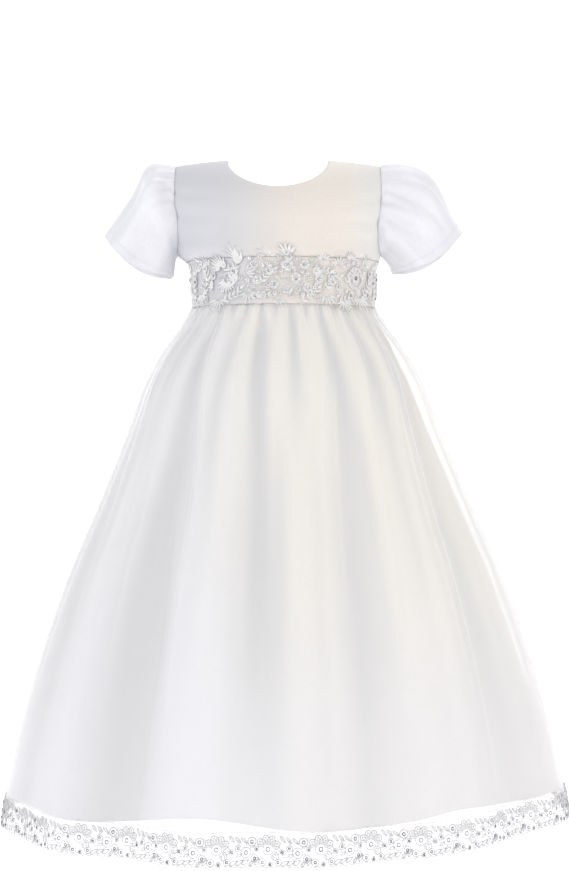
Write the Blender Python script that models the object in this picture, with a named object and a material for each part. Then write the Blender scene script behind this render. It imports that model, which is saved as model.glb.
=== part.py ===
"""Christening gown for a baby of about six months, filled out as it is worn and open at neck, cuffs and hem.

X runs across the gown, Y from its front to its back, and Z up. The origin lies between the
shoulders, level with their seams, where a wearer would hold the gown up. Every piece is a thin
closed wall laid on one shared surface: the torso above the waist seam and the skirt below it.
"""

import math
from collections import namedtuple

import bmesh
import bpy
from mathutils import Vector
from mathutils.geometry import delaunay_2d_cdt

# Cloth, lace and seams
CLOTH = 0.0012
LACE = 0.0010
LACE_LIFT = 0.0008
SEAM_GAP = 0.0003
HALF_GAP = SEAM_GAP / 2
SIDE = math.radians(90)

# Torso: how the cloth rounds over the shoulders, and where each piece ends below them
SHOULDER_ROUND = 0.060
SHOULDER_SLOPE = 0.007
SHOULDER_REACH = 0.095
SWAY = 0.0053
SWAY_FROM = 0.086
SWAY_TO = 0.100
BODICE_FALL = 0.0965
WAIST_FALL = 0.1396
NECK_HALF_WIDTH = 0.047
FRONT_NECK_DROP = 0.032
BACK_NECK_DROP = 0.021
UNDERARM_FALL = 0.090

# A section of the torso at a fall below the shoulders
Torso = namedtuple("Torso", "fall half_width front_depth back_depth")
TORSO = [
    Torso(0.0000, 0.1120, 0.0600, 0.0580),
    Torso(0.0300, 0.1070, 0.0600, 0.0580),
    Torso(0.0500, 0.1030, 0.0600, 0.0580),
    Torso(0.0650, 0.1000, 0.0603, 0.0582),
    Torso(0.0800, 0.0965, 0.0610, 0.0586),
    Torso(0.0900, 0.0940, 0.0615, 0.0590),
    Torso(0.0965, 0.0900, 0.0616, 0.0592),
    Torso(0.1070, 0.0868, 0.0620, 0.0596),
    Torso(0.1396, 0.0860, 0.0630, 0.0610),
]

# Where the armhole seam lies across the gown, at a fall below the shoulders
Armhole = namedtuple("Armhole", "fall half_width")
ARMHOLE = [
    Armhole(0.000, 0.0950),
    Armhole(0.040, 0.0955),
    Armhole(0.052, 0.0938),
    Armhole(0.065, 0.0925),
    Armhole(0.080, 0.0930),
    Armhole(0.090, 0.0940),
]

# Back closing: the right half laps over the left, and the buttons sit on it
LAP = 0.0075
LAP_RISE = CLOTH + SEAM_GAP
LAP_FLAT = 0.022
LAP_RAMP = 0.018
LAP_ROW = 0.0120
BUTTON_RADIUS = 0.0045
BUTTON_HEIGHT = 0.0036
BUTTON_SIDES = 10
BUTTON_RUNS = [0.056, 0.086, 0.116, 0.152]
BUTTON_PROFILE = [(0.72, 0.0), (1.0, 0.30), (0.86, 0.66), (0.45, 0.93)]

# Skirt: its sections below the waist seam, without folds
Skirt = namedtuple("Skirt", "drop half_width depth")
SKIRT = [
    Skirt(0.000, 0.0856, 0.063),
    Skirt(0.004, 0.0874, 0.065),
    Skirt(0.045, 0.1160, 0.083),
    Skirt(0.069, 0.1290, 0.093),
    Skirt(0.115, 0.1470, 0.108),
    Skirt(0.160, 0.1660, 0.122),
    Skirt(0.193, 0.1800, 0.133),
    Skirt(0.238, 0.2000, 0.148),
    Skirt(0.279, 0.2155, 0.161),
    Skirt(0.328, 0.2320, 0.176),
    Skirt(0.389, 0.2490, 0.190),
    Skirt(0.427, 0.2570, 0.197),
    Skirt(0.451, 0.2620, 0.201),
    Skirt(0.475, 0.2650, 0.203),
]
FRONT_LONGER = 0.013
HEM_TILT = 0.006
OVERLAY_DROP = 0.455
LINING_DROP = 0.444
HEM_DROP = 0.4705
FOLD_EASE = 0.080
FOLD_TOP = 0.030
FOLD_MIDDLE = 0.220

# A soft fold: where it starts and ends round the gown, half its width, and how far it stands
# out at the waist, half way down and at the hem. A valley stands out by less than nothing.
Fold = namedtuple("Fold", "waist hem half_width at_waist at_middle at_hem")
FOLDS = [
    Fold(-74, -64, 9, -0.0010, -0.0040, -0.0050),
    Fold(-62, -47, 8, 0.0010, 0.0040, 0.0045),
    Fold(-50, -31, 9, -0.0025, -0.0085, -0.0110),
    Fold(-29, -17, 10, 0.0020, 0.0050, 0.0050),
    Fold(-15, -5, 7, -0.0035, -0.0080, -0.0050),
    Fold(3, 3, 7, 0.0015, 0.0035, 0.0045),
    Fold(22, 11, 6, 0.0025, 0.0030, 0.0020),
    Fold(32, 18, 8, -0.0030, -0.0060, -0.0040),
    Fold(44, 29, 8, 0.0015, 0.0030, 0.0040),
    Fold(56, 41, 5, 0.0030, 0.0050, 0.0020),
    Fold(66, 52, 9, -0.0020, -0.0060, -0.0070),
    Fold(80, 70, 9, 0.0010, 0.0035, 0.0050),
    Fold(100, 92, 10, -0.0015, -0.0050, -0.0060),
    Fold(116, 112, 9, 0.0015, 0.0050, 0.0050),
    Fold(131, 130, 8, -0.0030, -0.0080, -0.0090),
    Fold(147, 148, 9, 0.0020, 0.0045, 0.0055),
    Fold(162, 166, 8, -0.0025, -0.0070, -0.0065),
    Fold(178, 183, 10, 0.0020, 0.0050, 0.0050),
    Fold(196, 202, 8, -0.0030, -0.0080, -0.0100),
    Fold(213, 220, 9, 0.0015, 0.0045, 0.0055),
    Fold(229, 236, 9, -0.0025, -0.0070, -0.0080),
    Fold(246, 252, 9, 0.0015, 0.0040, 0.0050),
    Fold(262, 270, 9, -0.0010, -0.0045, -0.0050),
]

# Gathers at the waist seam: fine ones that fade soon, and broader ones that run on
FINE_GATHERS = 38
FINE_DEPTH = 0.0018
FINE_FADE = 0.036
BROAD_GATHERS = 21
BROAD_DEPTH = 0.0015
BROAD_FADE = 0.110

# Lining: how far it lies inside the overlay, and its own deep folds at the hem
LINING_INSIDE = 0.0035
SIDE_AIR = 0.0100
LiningFold = namedtuple("LiningFold", "turn half_width depth lift")
LINING_FOLDS = [
    LiningFold(-17, 13, 0.020, 0.007),
    LiningFold(37, 11, 0.012, 0.003),
    LiningFold(128, 12, 0.014, 0.004),
    LiningFold(205, 12, 0.016, 0.005),
]

# Sleeves: the corners of each open hem, seen from the front, and how high, where and how long its puff is
Cuff = namedtuple("Cuff", "name side inner_x inner_z outer_x outer_z crown crown_at crown_long")
CUFFS = [
    Cuff("sleeve_left", -1, -0.0985, -0.1107, -0.1622, -0.0729, 0.0083, 0.30, 0.15),
    Cuff("sleeve_right", 1, 0.1080, -0.1066, 0.1728, -0.0687, 0.0120, 0.46, 0.235),
]
CUFF_DEPTH = 0.034
CUFF_SAG = 0.010
SLEEVE_GATHERS = 12
SLEEVE_GATHER_DEPTH = 0.0016
SLEEVE_COLUMNS = 48
SLEEVE_ROWS = [0.0, 0.10, 0.25, 0.42, 0.65, 1.0]
PUFF = 0.074
PUFF_OUT = 0.87
PUFF_FORWARD = 0.50
PUFF_UP = 0.50
FLARE = 0.048
HANG_OUT = 0.46
HANG_OUT_ABOVE = 0.04
HANG_FORWARD = 0.20
HANG_DOWN = 0.85
LONGEST_PULL = 0.9
CAP_FROM = -0.55
CAP_TO = 0.15
CROWN_FROM = -0.2
CROWN_TO = 0.8
CROWN_SEAM = 0.02
CROWN_FULL = 0.24

# Waist lace: leaf sprays above and below the band, and the openings between its motifs
Spray = namedtuple("Spray", "turn half_width height")
SPRAYS_UP = [Spray(-60, 7, 0.006), Spray(-45, 7, 0.007), Spray(-25, 6, 0.016), Spray(8, 9, 0.008),
             Spray(30, 6, 0.003), Spray(50, 10, 0.006), Spray(74, 6, 0.004), Spray(105, 9, 0.007),
             Spray(135, 8, 0.010), Spray(160, 8, 0.005), Spray(-105, 9, 0.006), Spray(-135, 8, 0.010),
             Spray(-158, 8, 0.006)]
SPRAYS_DOWN = [Spray(-68, 9, 0.011), Spray(-46, 6, 0.012), Spray(-22, 6, 0.007), Spray(4, 5, 0.003),
               Spray(36, 9, 0.008), Spray(60, 8, 0.012), Spray(82, 6, 0.008), Spray(108, 8, 0.010),
               Spray(138, 8, 0.011), Spray(162, 7, 0.008), Spray(-100, 8, 0.010), Spray(-128, 8, 0.012),
               Spray(-156, 8, 0.008)]
WAIST_LACE_TOP = 0.0945
WAIST_LACE_BOTTOM = 0.1405
LEAF_TIP = 0.0022
LEAVES_ROUND = 45
WAIST_LACE_STEP = 4
WAIST_GAP_ROUND = 15
WAIST_GAP_RUN = 0.0052
WAIST_GAP_TURN = 2.9

# Hem lace: the repeats round the hem, and the edges and openings of one repeat
REPEATS = 34
LACE_HEIGHT = 0.0275
SCALLOP = 0.0026
Opening = namedtuple("Opening", "along down half_long half_high")
HEM_OPENINGS = [Opening(0.30, 0.42, 0.085, 0.0028), Opening(0.80, 0.60, 0.095, 0.0026)]
OPENING_SIDES = 5
TOP_POINTS = 4
BOTTOM_POINTS = 6

# Grid of the skirt's walls: columns in a half, and the drops of their rows
OVERLAY_COLUMNS = 76
OVERLAY_FINE_ROWS = [HALF_GAP, 0.006, 0.014, 0.028, 0.048]
OVERLAY_ROWS = [0.085, 0.140, 0.210, 0.290, 0.370, OVERLAY_DROP]
LINING_COLUMNS = 30
LINING_ROWS = [HALF_GAP, 0.020, 0.070, 0.150, 0.240, 0.340, LINING_DROP]

# How finely the flat pieces of the bodice and the band are divided
NECK_STEPS = 8
ARMHOLE_STEPS = SLEEVE_COLUMNS // 2
BODICE_HEM_STEPS = 14
BODICE_STEP_TURN = 0.13
BODICE_STEP_RUN = 0.0120
BODICE_RADIUS = 0.09
CLEAR_TURN = 0.04
CLEAR_RUN = 0.004
BESIDE_LAP = 0.06
NECK_RISE_AT_LAP = 0.0004
BAND_ROWS = [0.005, 0.012]
BAND_COLUMNS = 18
HALF_BAND_COLUMNS = 12

# How finely the laces are divided, and how far their openings stay from their ends
HEM_STEPS = 200
HEM_SPOT_ALONG = 0.55
HEM_RADIUS = 0.235
WAIST_GAP_CLEAR = 2
WAIST_GAP_BELOW = 0.011
WAIST_GAP_ABOVE = 0.010
WAIST_STEP_TURN = 0.16
WAIST_STEP_RUN = 0.011
WAIST_CLEAR_TURN = 0.03
WAIST_CLEAR_RUN = 0.002
WAIST_RADIUS = 0.08
LACE_BLEND = 0.006
LACE_PAST_LAP = 0.0015

# Short steps that a surface's facing is measured over
TURN_STEP = 0.004
RUN_STEP = 0.0005
SLEEVE_STEP_TURN = 0.03
SLEEVE_STEP_WAY = 0.01
EDGE_STEP = 0.02
FACET_TURN = 0.02
FACET_DROP = 0.01
BUTTON_STEP_TURN = 0.02
BUTTON_STEP_RUN = 0.003
ARMHOLE_GAP = SEAM_GAP + 0.0001

# Colour and roughness of each cloth
Finish = namedtuple("Finish", "name colour roughness")
SATIN = Finish("bodice_cloth", (0.84, 0.82, 0.79), 0.50)
ORGANZA = Finish("organza", (0.88, 0.88, 0.90), 0.45)
LINING = Finish("lining_cloth", (0.86, 0.85, 0.84), 0.60)
SLEEVE_CLOTH = Finish("sleeve_cloth", (0.87, 0.87, 0.91), 0.45)
LACE_THREAD = Finish("lace_thread", (0.82, 0.82, 0.83), 0.70)
BUTTON_CLOTH = Finish("button_cloth", (0.88, 0.87, 0.86), 0.50)


def read(rows, column, at):
    """A smooth value of one column of a table, whose rows are ordered by their first column."""
    keys = [row[0] for row in rows]
    values = [getattr(row, column) for row in rows]
    if at <= keys[0]:
        return values[0]
    if at >= keys[-1]:
        return values[-1]
    slopes = [(b - a) / (q - p) for a, b, p, q in zip(values, values[1:], keys, keys[1:])]
    i = max(k for k in range(len(slopes)) if keys[k] <= at)
    before = slopes[max(i - 1, 0)]
    after = slopes[min(i + 1, len(slopes) - 1)]
    start = 0.0 if before * slopes[i] <= 0 else 2 * before * slopes[i] / (before + slopes[i])
    end = 0.0 if after * slopes[i] <= 0 else 2 * after * slopes[i] / (after + slopes[i])
    span = keys[i + 1] - keys[i]
    t = (at - keys[i]) / span
    rise = t * t * (3 - 2 * t)
    return (values[i] + (values[i + 1] - values[i]) * rise
            + span * t * (1 - t) * (start * (1 - t) - end * t))


def ease(start, end, at):
    """0 before start, 1 after end, and a smooth rise between them."""
    t = min(max((at - start) / (end - start), 0.0), 1.0)
    return t * t * (3 - 2 * t)


def apart(turn, centre):
    """Degrees from a place round the gown to another, the shorter way."""
    return (math.degrees(turn) - centre + 180) % 360 - 180


def bump(turn, centre, half_width):
    """1 at a place round the gown, fading smoothly to nothing on both sides of it."""
    return math.exp(-(apart(turn, centre) / half_width) ** 2)


def fall_at(run):
    """How far below the shoulders the cloth is, a given run down it from the shoulder seam."""
    quarter = SHOULDER_ROUND * math.pi / 2
    if run < quarter:
        return SHOULDER_ROUND * (1 - math.cos(run / SHOULDER_ROUND))
    return SHOULDER_ROUND + run - quarter


def run_at(fall):
    """The run down the cloth to a given fall below the shoulders."""
    if fall < SHOULDER_ROUND:
        return SHOULDER_ROUND * math.acos(1 - fall / SHOULDER_ROUND)
    return SHOULDER_ROUND * math.pi / 2 + fall - SHOULDER_ROUND


def torso(turn, run):
    """Outer face of the torso: turn 0 is the front, and run is the way down from the shoulder seam."""
    fall = fall_at(run)
    swell = math.sin(min(run / SHOULDER_ROUND, math.pi / 2))
    depth = read(TORSO, "front_depth" if math.cos(turn) > 0 else "back_depth", fall)
    x = read(TORSO, "half_width", fall) * math.sin(turn)
    slope = SHOULDER_SLOPE * (x / SHOULDER_REACH) ** 2 * (1 - ease(0, SHOULDER_ROUND, fall))
    sway = SWAY * ease(SWAY_FROM, SWAY_TO, fall)
    return Vector((x + sway, -depth * swell * math.cos(turn), -fall - slope))


def folds(turn, drop):
    """How far the large folds stand out of the skirt."""
    out = 0.0
    for fold in FOLDS:
        centre = fold.hem + (fold.waist - fold.hem) * math.exp(-drop / FOLD_EASE)
        if drop < FOLD_MIDDLE:
            height = fold.at_waist + (fold.at_middle - fold.at_waist) * ease(FOLD_TOP, FOLD_MIDDLE, drop)
        else:
            height = fold.at_middle + (fold.at_hem - fold.at_middle) * ease(FOLD_MIDDLE, HEM_DROP, drop)
        out += height * bump(turn, centre, fold.half_width)
    return out * ease(0, FOLD_TOP, drop)


def gather_depth(drop):
    """Depth of the fine and the broad gathers below the waist seam."""
    drop = max(drop, 0.0)
    opening = 0.55 + 0.45 * ease(0, 0.012, drop)
    fine = FINE_DEPTH * opening * math.exp(-(drop / FINE_FADE) ** 1.5)
    broad = BROAD_DEPTH * ease(0, 0.020, drop) * math.exp(-(drop / BROAD_FADE) ** 2)
    return fine, broad


def gathers(turn, drop):
    fine, broad = gather_depth(drop)
    uneven = 1 - 0.30 * math.sin(7 * turn + 2) ** 2
    return (fine * uneven * math.cos(FINE_GATHERS * turn + 0.8 * math.sin(3 * turn))
            + broad * math.cos(BROAD_GATHERS * turn + 1.3 * math.sin(2 * turn + 1)))


def skirt(turn, drop, out):
    """A point of the skirt, moved out from its plain section."""
    width = read(SKIRT, "half_width", drop)
    depth = read(SKIRT, "depth", drop)
    outward = Vector((math.sin(turn) / width, -math.cos(turn) / depth, 0)).normalized()
    low = drop * (1 + FRONT_LONGER * math.cos(turn) ** 2) - HEM_TILT * math.sin(turn) * drop / HEM_DROP
    return Vector((width * math.sin(turn) + SWAY, -depth * math.cos(turn), -WAIST_FALL - low)) + outward * out


def overlay(turn, drop):
    return skirt(turn, drop, folds(turn, drop) + gathers(turn, drop))


def overlay_crests(turn, drop):
    """The surface that the tops of the gathers touch, which the waist lace lies on."""
    return skirt(turn, drop, folds(turn, drop) + sum(gather_depth(drop)))


def lining(turn, drop):
    """The lining follows the overlay's folds inside it, with air at the right side and folds of its own."""
    fold = folds(turn, drop)
    air = SIDE_AIR * bump(turn, 90, 30) * ease(0.010, 0.060, drop) * (1 - ease(0.330, 0.400, drop))
    inside = LINING_INSIDE * (0.55 + 0.45 * ease(0.002, 0.020, drop)) + air + sum(gather_depth(drop))
    own = ease(0.230, LINING_DROP, drop)
    deep = sum(row.depth * own * bump(turn, row.turn, row.half_width) for row in LINING_FOLDS)
    lift = sum(row.lift * own * bump(turn, row.turn, row.half_width) for row in LINING_FOLDS)
    point = skirt(turn, drop, 0.85 * fold - 0.15 * abs(fold) - inside - deep)
    return point + Vector((0, 0, lift))


def facing(surface, u, v, u_step, v_step):
    """Which way a surface faces, out of the gown."""
    across = surface(u + u_step, v) - surface(u - u_step, v)
    down = surface(u, v + v_step) - surface(u, v - v_step)
    return down.cross(across).normalized()


def moved_out(surface, distance, u_step=TURN_STEP, v_step=RUN_STEP):
    """The surface that lies a distance outside another."""
    return lambda u, v: surface(u, v) + facing(surface, u, v, u_step, v_step) * distance


def paint(part, finish):
    material = bpy.data.materials.get(finish.name) or bpy.data.materials.new(finish.name)
    material.use_nodes = True
    shader = material.node_tree.nodes["Principled BSDF"]
    shader.inputs["Base Color"].default_value = (*finish.colour, 1)
    shader.inputs["Roughness"].default_value = finish.roughness
    shader.inputs["Metallic"].default_value = 0.0
    part.data.materials.append(material)


def add_part(name, vertices, faces, finish):
    """One closed body from its vertices and faces, with every face turned out."""
    mesh = bpy.data.meshes.new(name)
    mesh.from_pydata(vertices, [], faces)
    edit = bmesh.new()
    edit.from_mesh(mesh)
    bmesh.ops.recalc_face_normals(edit, faces=edit.faces)
    edit.to_mesh(mesh)
    edit.free()
    part = bpy.data.objects.new(name, mesh)
    bpy.context.scene.collection.objects.link(part)
    mesh.shade_smooth()
    mesh.set_sharp_from_angle(angle=math.radians(50))
    paint(part, finish)


def close_wall(name, outer, inner, triangles, finish):
    """A wall from its outer points, their partners inside it, and one set of triangles for both faces."""
    count = len(outer)
    faces = [tuple(face) for face in triangles]
    faces += [tuple(i + count for i in reversed(face)) for face in triangles]
    directed = {(face[k], face[(k + 1) % 3]) for face in triangles for k in range(3)}
    for a, b in sorted(directed):
        if (b, a) not in directed:
            faces.append((b, a, a + count, b + count))
    add_part(name, list(outer) + list(inner), faces, finish)


def lay_wall(name, places, triangles, surface, thickness, finish):
    """A wall whose outer face lies on a surface at the given places."""
    within = moved_out(surface, -thickness)
    outer = [surface(u, v) for u, v in places]
    inner = [within(u, v) for u, v in places]
    close_wall(name, outer, inner, triangles, finish)


def band(first, second, wide, narrow):
    """Triangles between a row of places and the next, which may have half as many."""
    found = []
    for k in range(narrow):
        if wide == narrow:
            found += [(first + k, second + k, first + k + 1), (first + k + 1, second + k, second + k + 1)]
            continue
        top = first + 2 * k
        found += [(top, second + k, top + 1), (top + 1, second + k, second + k + 1)]
        found.append((top + 1, second + k + 1, top + 2))
    return found


def strip(rows, columns, turn_at):
    """Places and triangles of a grid: each row is a way down the cloth, with its own count of columns."""
    places = []
    triangles = []
    start = 0
    for number, (way, count) in enumerate(zip(rows, columns)):
        if number:
            previous = columns[number - 1]
            triangles += band(start - previous - 1, start, previous, count)
        places += [(turn_at(k / count, way), way) for k in range(count + 1)]
        start += count + 1
    return places, triangles


def inside(place, loop):
    """Whether a place lies inside a loop of places."""
    found = False
    for (x0, y0), (x1, y1) in zip(loop, loop[1:] + loop[:1]):
        if (y0 > place[1]) != (y1 > place[1]):
            if place[0] < x0 + (x1 - x0) * (place[1] - y0) / (y1 - y0):
                found = not found
    return found


def fill(outline, openings, spots, scale):
    """Triangles of a flat piece with openings cut in it. Turns are scaled to lengths while it is filled."""
    loops = [outline] + openings
    places = [place for loop in loops for place in loop] + spots
    edges = []
    start = 0
    for loop in loops:
        edges += [(start + k, start + (k + 1) % len(loop)) for k in range(len(loop))]
        start += len(loop)
    flat = [Vector((u * scale, v)) for u, v in places]
    faces = delaunay_2d_cdt(flat, edges, [], 0, 1e-7, False)[2]
    kept = []
    for face in faces:
        middle = [sum(places[k][axis] for k in face) / 3 for axis in (0, 1)]
        if inside(middle, outline) and not any(inside(middle, loop) for loop in openings):
            kept.append(tuple(face))
    return places, kept


def spread(outline, openings, u_step, v_step, clear_u, clear_v):
    """Places inside a flat piece, on a staggered grid that stays clear of its edges."""
    low_u = min(u for u, _ in outline)
    high_u = max(u for u, _ in outline)
    low_v = min(v for _, v in outline)
    high_v = max(v for _, v in outline)
    found = []
    for j in range(1, int((high_v - low_v) / v_step) + 1):
        for i in range(int((high_u - low_u) / u_step) + 1):
            u = low_u + (i + 0.5 * (j % 2)) * u_step
            v = low_v + j * v_step
            around = [(u + a * clear_u, v + b * clear_v) for a in (-1, 0, 1) for b in (-1, 0, 1)]
            if not all(inside(place, outline) for place in around):
                continue
            if not any(inside(place, loop) for place in around for loop in openings):
                found.append((u, v))
    return found


def side_turn(depth):
    """How far short of the side a piece stops, so that it clears its neighbour by half a gap."""
    return SIDE - HALF_GAP / depth


def armhole_turn(fall):
    share = read(ARMHOLE, "half_width", fall) / read(TORSO, "half_width", fall)
    return math.asin(min(share, 1.0))


def armhole_run(share):
    """Way down the armhole, from the shoulder tip at 0 to the underarm at 1."""
    return run_at(UNDERARM_FALL) * math.sin(share * math.pi / 2)


def neck_place(share, drop):
    """A place on the neckline, from the shoulder at 0 to its lowest point at 1."""
    run = run_at(drop) * math.sin(share * math.pi / 2)
    fall = fall_at(run)
    x = NECK_HALF_WIDTH * math.sqrt(max(1 - (fall / drop) ** 2, 0))
    return math.asin(x / read(TORSO, "half_width", fall)), run


def half_bodice(drop, start, ends):
    """Outline of the right half of a bodice piece: neckline, shoulder, armhole, side and hem."""
    limit = side_turn(TORSO[-3].front_depth)
    neck = [neck_place(1 - k / NECK_STEPS, drop) for k in range(start, NECK_STEPS + 1)]
    armhole = []
    for k in range(ARMHOLE_STEPS + 1):
        run = armhole_run(k / ARMHOLE_STEPS)
        armhole.append((min(armhole_turn(fall_at(run)), limit), run))
    outline = neck[:-1] + [(neck[-1][0], HALF_GAP)]
    outline += [(armhole[0][0], HALF_GAP)] + armhole[1:]
    bottom = run_at(BODICE_FALL) - HALF_GAP
    span = ends[0] - limit
    outline += [(limit + span * k / BODICE_HEM_STEPS, bottom) for k in range(BODICE_HEM_STEPS + 1)]
    return outline + [(turn, bottom) for turn in ends[1:]]


def make_bodice_front():
    half = half_bodice(FRONT_NECK_DROP, 1, [0.0])
    outline = [(0.0, run_at(FRONT_NECK_DROP))] + half + [(-u, v) for u, v in reversed(half[:-1])]
    spots = spread(outline, [], BODICE_STEP_TURN, BODICE_STEP_RUN, CLEAR_TURN, CLEAR_RUN)
    places, triangles = fill(outline, [], spots, BODICE_RADIUS)
    lay_wall("bodice_front", places, triangles, torso, CLOTH, SATIN)


def lapped(side):
    """The torso's surface at the back, where the right half rises over the left near the middle."""
    def surface(turn, run):
        point = torso(turn, run)
        if side < 0:
            return point
        across = read(TORSO, "half_width", fall_at(run)) * math.sin(turn)
        rise = LAP_RISE * (1 - ease(LAP_FLAT, LAP_FLAT + LAP_RAMP, across))
        return point + facing(torso, turn, run, TURN_STEP, RUN_STEP) * rise
    return surface


def make_bodice_back(name, side):
    """A back half, drawn from the middle of the back outwards and then set on its own side."""
    past = LAP / TORSO[4].half_width
    low = run_at(BACK_NECK_DROP)
    half = half_bodice(BACK_NECK_DROP, 2, [past, 0.0, -past])
    outline = [(-past, low), (0.0, low), (past, low - NECK_RISE_AT_LAP)] + half
    rows = [low + LAP_ROW * k for k in range(1, 7)]
    spots = [(turn, row) for row in rows for turn in (0.0, past)]
    beside = spread(outline, [], BODICE_STEP_TURN, LAP_ROW, CLEAR_TURN, CLEAR_RUN)
    spots += [spot for spot in beside if spot[0] > past + BESIDE_LAP]
    outline += [(-past, row) for row in reversed(rows)]
    places, triangles = fill(outline, [], spots, BODICE_RADIUS)
    placed = [(math.pi - side * u, v) for u, v in places]
    lay_wall(name, placed, triangles, lapped(side), CLOTH, SATIN)


def make_waistband():
    top = run_at(BODICE_FALL)
    rows = [top + HALF_GAP] + [top + row for row in BAND_ROWS] + [run_at(WAIST_FALL) - HALF_GAP]
    edge = side_turn(TORSO[-1].front_depth)
    across = [BAND_COLUMNS] * len(rows)
    places, triangles = strip(rows, across, lambda share, way: edge * (2 * share - 1))
    lay_wall("waistband_front", places, triangles, torso, CLOTH, SATIN)
    past = LAP / TORSO[-1].half_width
    span = past - edge
    to_lap = HALF_BAND_COLUMNS - 2
    turns = [edge + span * k / to_lap for k in range(to_lap + 1)] + [0.0, -past]
    across = [HALF_BAND_COLUMNS] * len(rows)
    for name, side in (("waistband_back_left", -1), ("waistband_back_right", 1)):
        places, triangles = strip(rows, across, lambda share, way: turns[round(share * HALF_BAND_COLUMNS)])
        placed = [(math.pi - side * u, v) for u, v in places]
        lay_wall(name, placed, triangles, lapped(side), CLOTH, SATIN)


def armhole_point(side, angle, inner):
    """A point of the armhole edge. Angle 0 is the shoulder tip, 90 degrees the front, 180 the underarm."""
    front = angle <= math.pi
    share = angle / math.pi if front else 2 - angle / math.pi
    run = armhole_run(share)
    turn = armhole_turn(fall_at(run))
    turn = side * turn if front else math.pi - side * turn
    surface = moved_out(torso, -CLOTH) if inner else torso
    return surface(turn, run)


def sleeve(cuff, angle, way):
    """The sleeve's surface, from the armhole at 0 to the open hem at 1."""
    head = armhole_point(cuff.side, angle, False)
    sine = math.sin(angle)
    cosine = math.cos(angle)
    puff = Vector((PUFF_OUT * cuff.side, -PUFF_FORWARD * sine, PUFF_UP * cosine)).normalized()
    aside = HANG_OUT + HANG_OUT_ABOVE * cosine
    hang = Vector((aside * cuff.side, -HANG_FORWARD * sine, -HANG_DOWN)).normalized()
    inner = Vector((cuff.inner_x, 0, cuff.inner_z))
    outer = Vector((cuff.outer_x, 0, cuff.outer_z))
    hem = (inner + outer) / 2 + (outer - inner) / 2 * cosine
    hem += Vector((0, -CUFF_DEPTH * sine, 0))
    hem += Vector((0.5 * cuff.side, 0, -0.86)) * CUFF_SAG * sine ** 2
    reach = (hem - head).length
    start = puff * min(PUFF, LONGEST_PULL * reach)
    end = hang * min(FLARE, LONGEST_PULL * reach)
    t = way
    return (head * (2 * t ** 3 - 3 * t ** 2 + 1) + start * (t ** 3 - 2 * t ** 2 + t)
            + hem * (3 * t ** 2 - 2 * t ** 3) + end * (t ** 3 - t ** 2))


def make_sleeve(cuff):
    """The first ring follows the armhole's edge a gap away, and the rest stand out in gathers on the cap."""
    def plain(angle, way):
        return sleeve(cuff, angle, way)

    def outward(angle, way):
        return facing(plain, angle, way, SLEEVE_STEP_TURN, SLEEVE_STEP_WAY) * -cuff.side

    outer = []
    inner = []
    triangles = []
    for number, way in enumerate(SLEEVE_ROWS):
        for k in range(SLEEVE_COLUMNS):
            angle = 2 * math.pi * k / SLEEVE_COLUMNS
            if number == 0:
                ahead = armhole_point(cuff.side, (angle + EDGE_STEP) % (2 * math.pi), False)
                behind = armhole_point(cuff.side, (angle - EDGE_STEP) % (2 * math.pi), False)
                edge_outer = armhole_point(cuff.side, angle, False)
                edge_inner = armhole_point(cuff.side, angle, True)
                away = (ahead - behind).cross(edge_outer - edge_inner).normalized()
                if away.x * cuff.side + away.z < 0:
                    away = -away
                outer.append(edge_outer + away * ARMHOLE_GAP)
                inner.append(edge_inner + away * ARMHOLE_GAP)
                continue
            cap = ease(CAP_FROM, CAP_TO, math.cos(angle))
            fade = ease(0.0, 0.10, way) * (1 - ease(0.20, 0.85, way))
            above = ease(CROWN_FROM, CROWN_TO, math.cos(angle))
            above *= ease(CROWN_SEAM, CROWN_FULL, way)
            out = cuff.crown * above * math.exp(-((way - cuff.crown_at) / cuff.crown_long) ** 2)
            out += SLEEVE_GATHER_DEPTH * cap * fade * math.cos(SLEEVE_GATHERS * angle)
            facing_out = outward(angle, way)
            outer.append(plain(angle, way) + facing_out * out)
            inner.append(plain(angle, way) + facing_out * (out - CLOTH))
    for row in range(len(SLEEVE_ROWS) - 1):
        for k in range(SLEEVE_COLUMNS):
            a = row * SLEEVE_COLUMNS + k
            b = row * SLEEVE_COLUMNS + (k + 1) % SLEEVE_COLUMNS
            c = a + SLEEVE_COLUMNS
            d = b + SLEEVE_COLUMNS
            triangles += [(a, c, b), (b, c, d)]
    close_wall(cuff.name, outer, inner, triangles, SLEEVE_CLOTH)


def make_skirt(name, middle, surface, columns, rows, finish):
    """A front or back width of a skirt layer, from side seam to side seam."""
    def turn_at(share, drop):
        return middle + side_turn(read(SKIRT, "depth", drop)) * (2 * share - 1)

    places, triangles = strip(rows, columns, turn_at)
    lay_wall(name, places, triangles, surface, CLOTH, finish)


def overlay_facet(turn, drop):
    """A point of the overlay's wall near the hem, on the flat between its columns."""
    columns = OVERLAY_COLUMNS // 2
    middle = 0.0 if math.cos(turn) > 0 else math.pi
    edge = side_turn(read(SKIRT, "depth", OVERLAY_DROP))
    place = ((turn - middle + math.pi) % (2 * math.pi) - math.pi) / edge
    column = min(max(math.floor((place + 1) / 2 * columns), 0), columns - 1)
    share = (place + 1) / 2 * columns - column
    rows = []
    for row in OVERLAY_ROWS[-2:]:
        limit = side_turn(read(SKIRT, "depth", row))
        left = overlay(middle + limit * (2 * column / columns - 1), row)
        right = overlay(middle + limit * (2 * (column + 1) / columns - 1), row)
        rows.append(left.lerp(right, share))
    return rows[0].lerp(rows[1], (drop - OVERLAY_ROWS[-2]) / (OVERLAY_ROWS[-1] - OVERLAY_ROWS[-2]))


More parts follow.
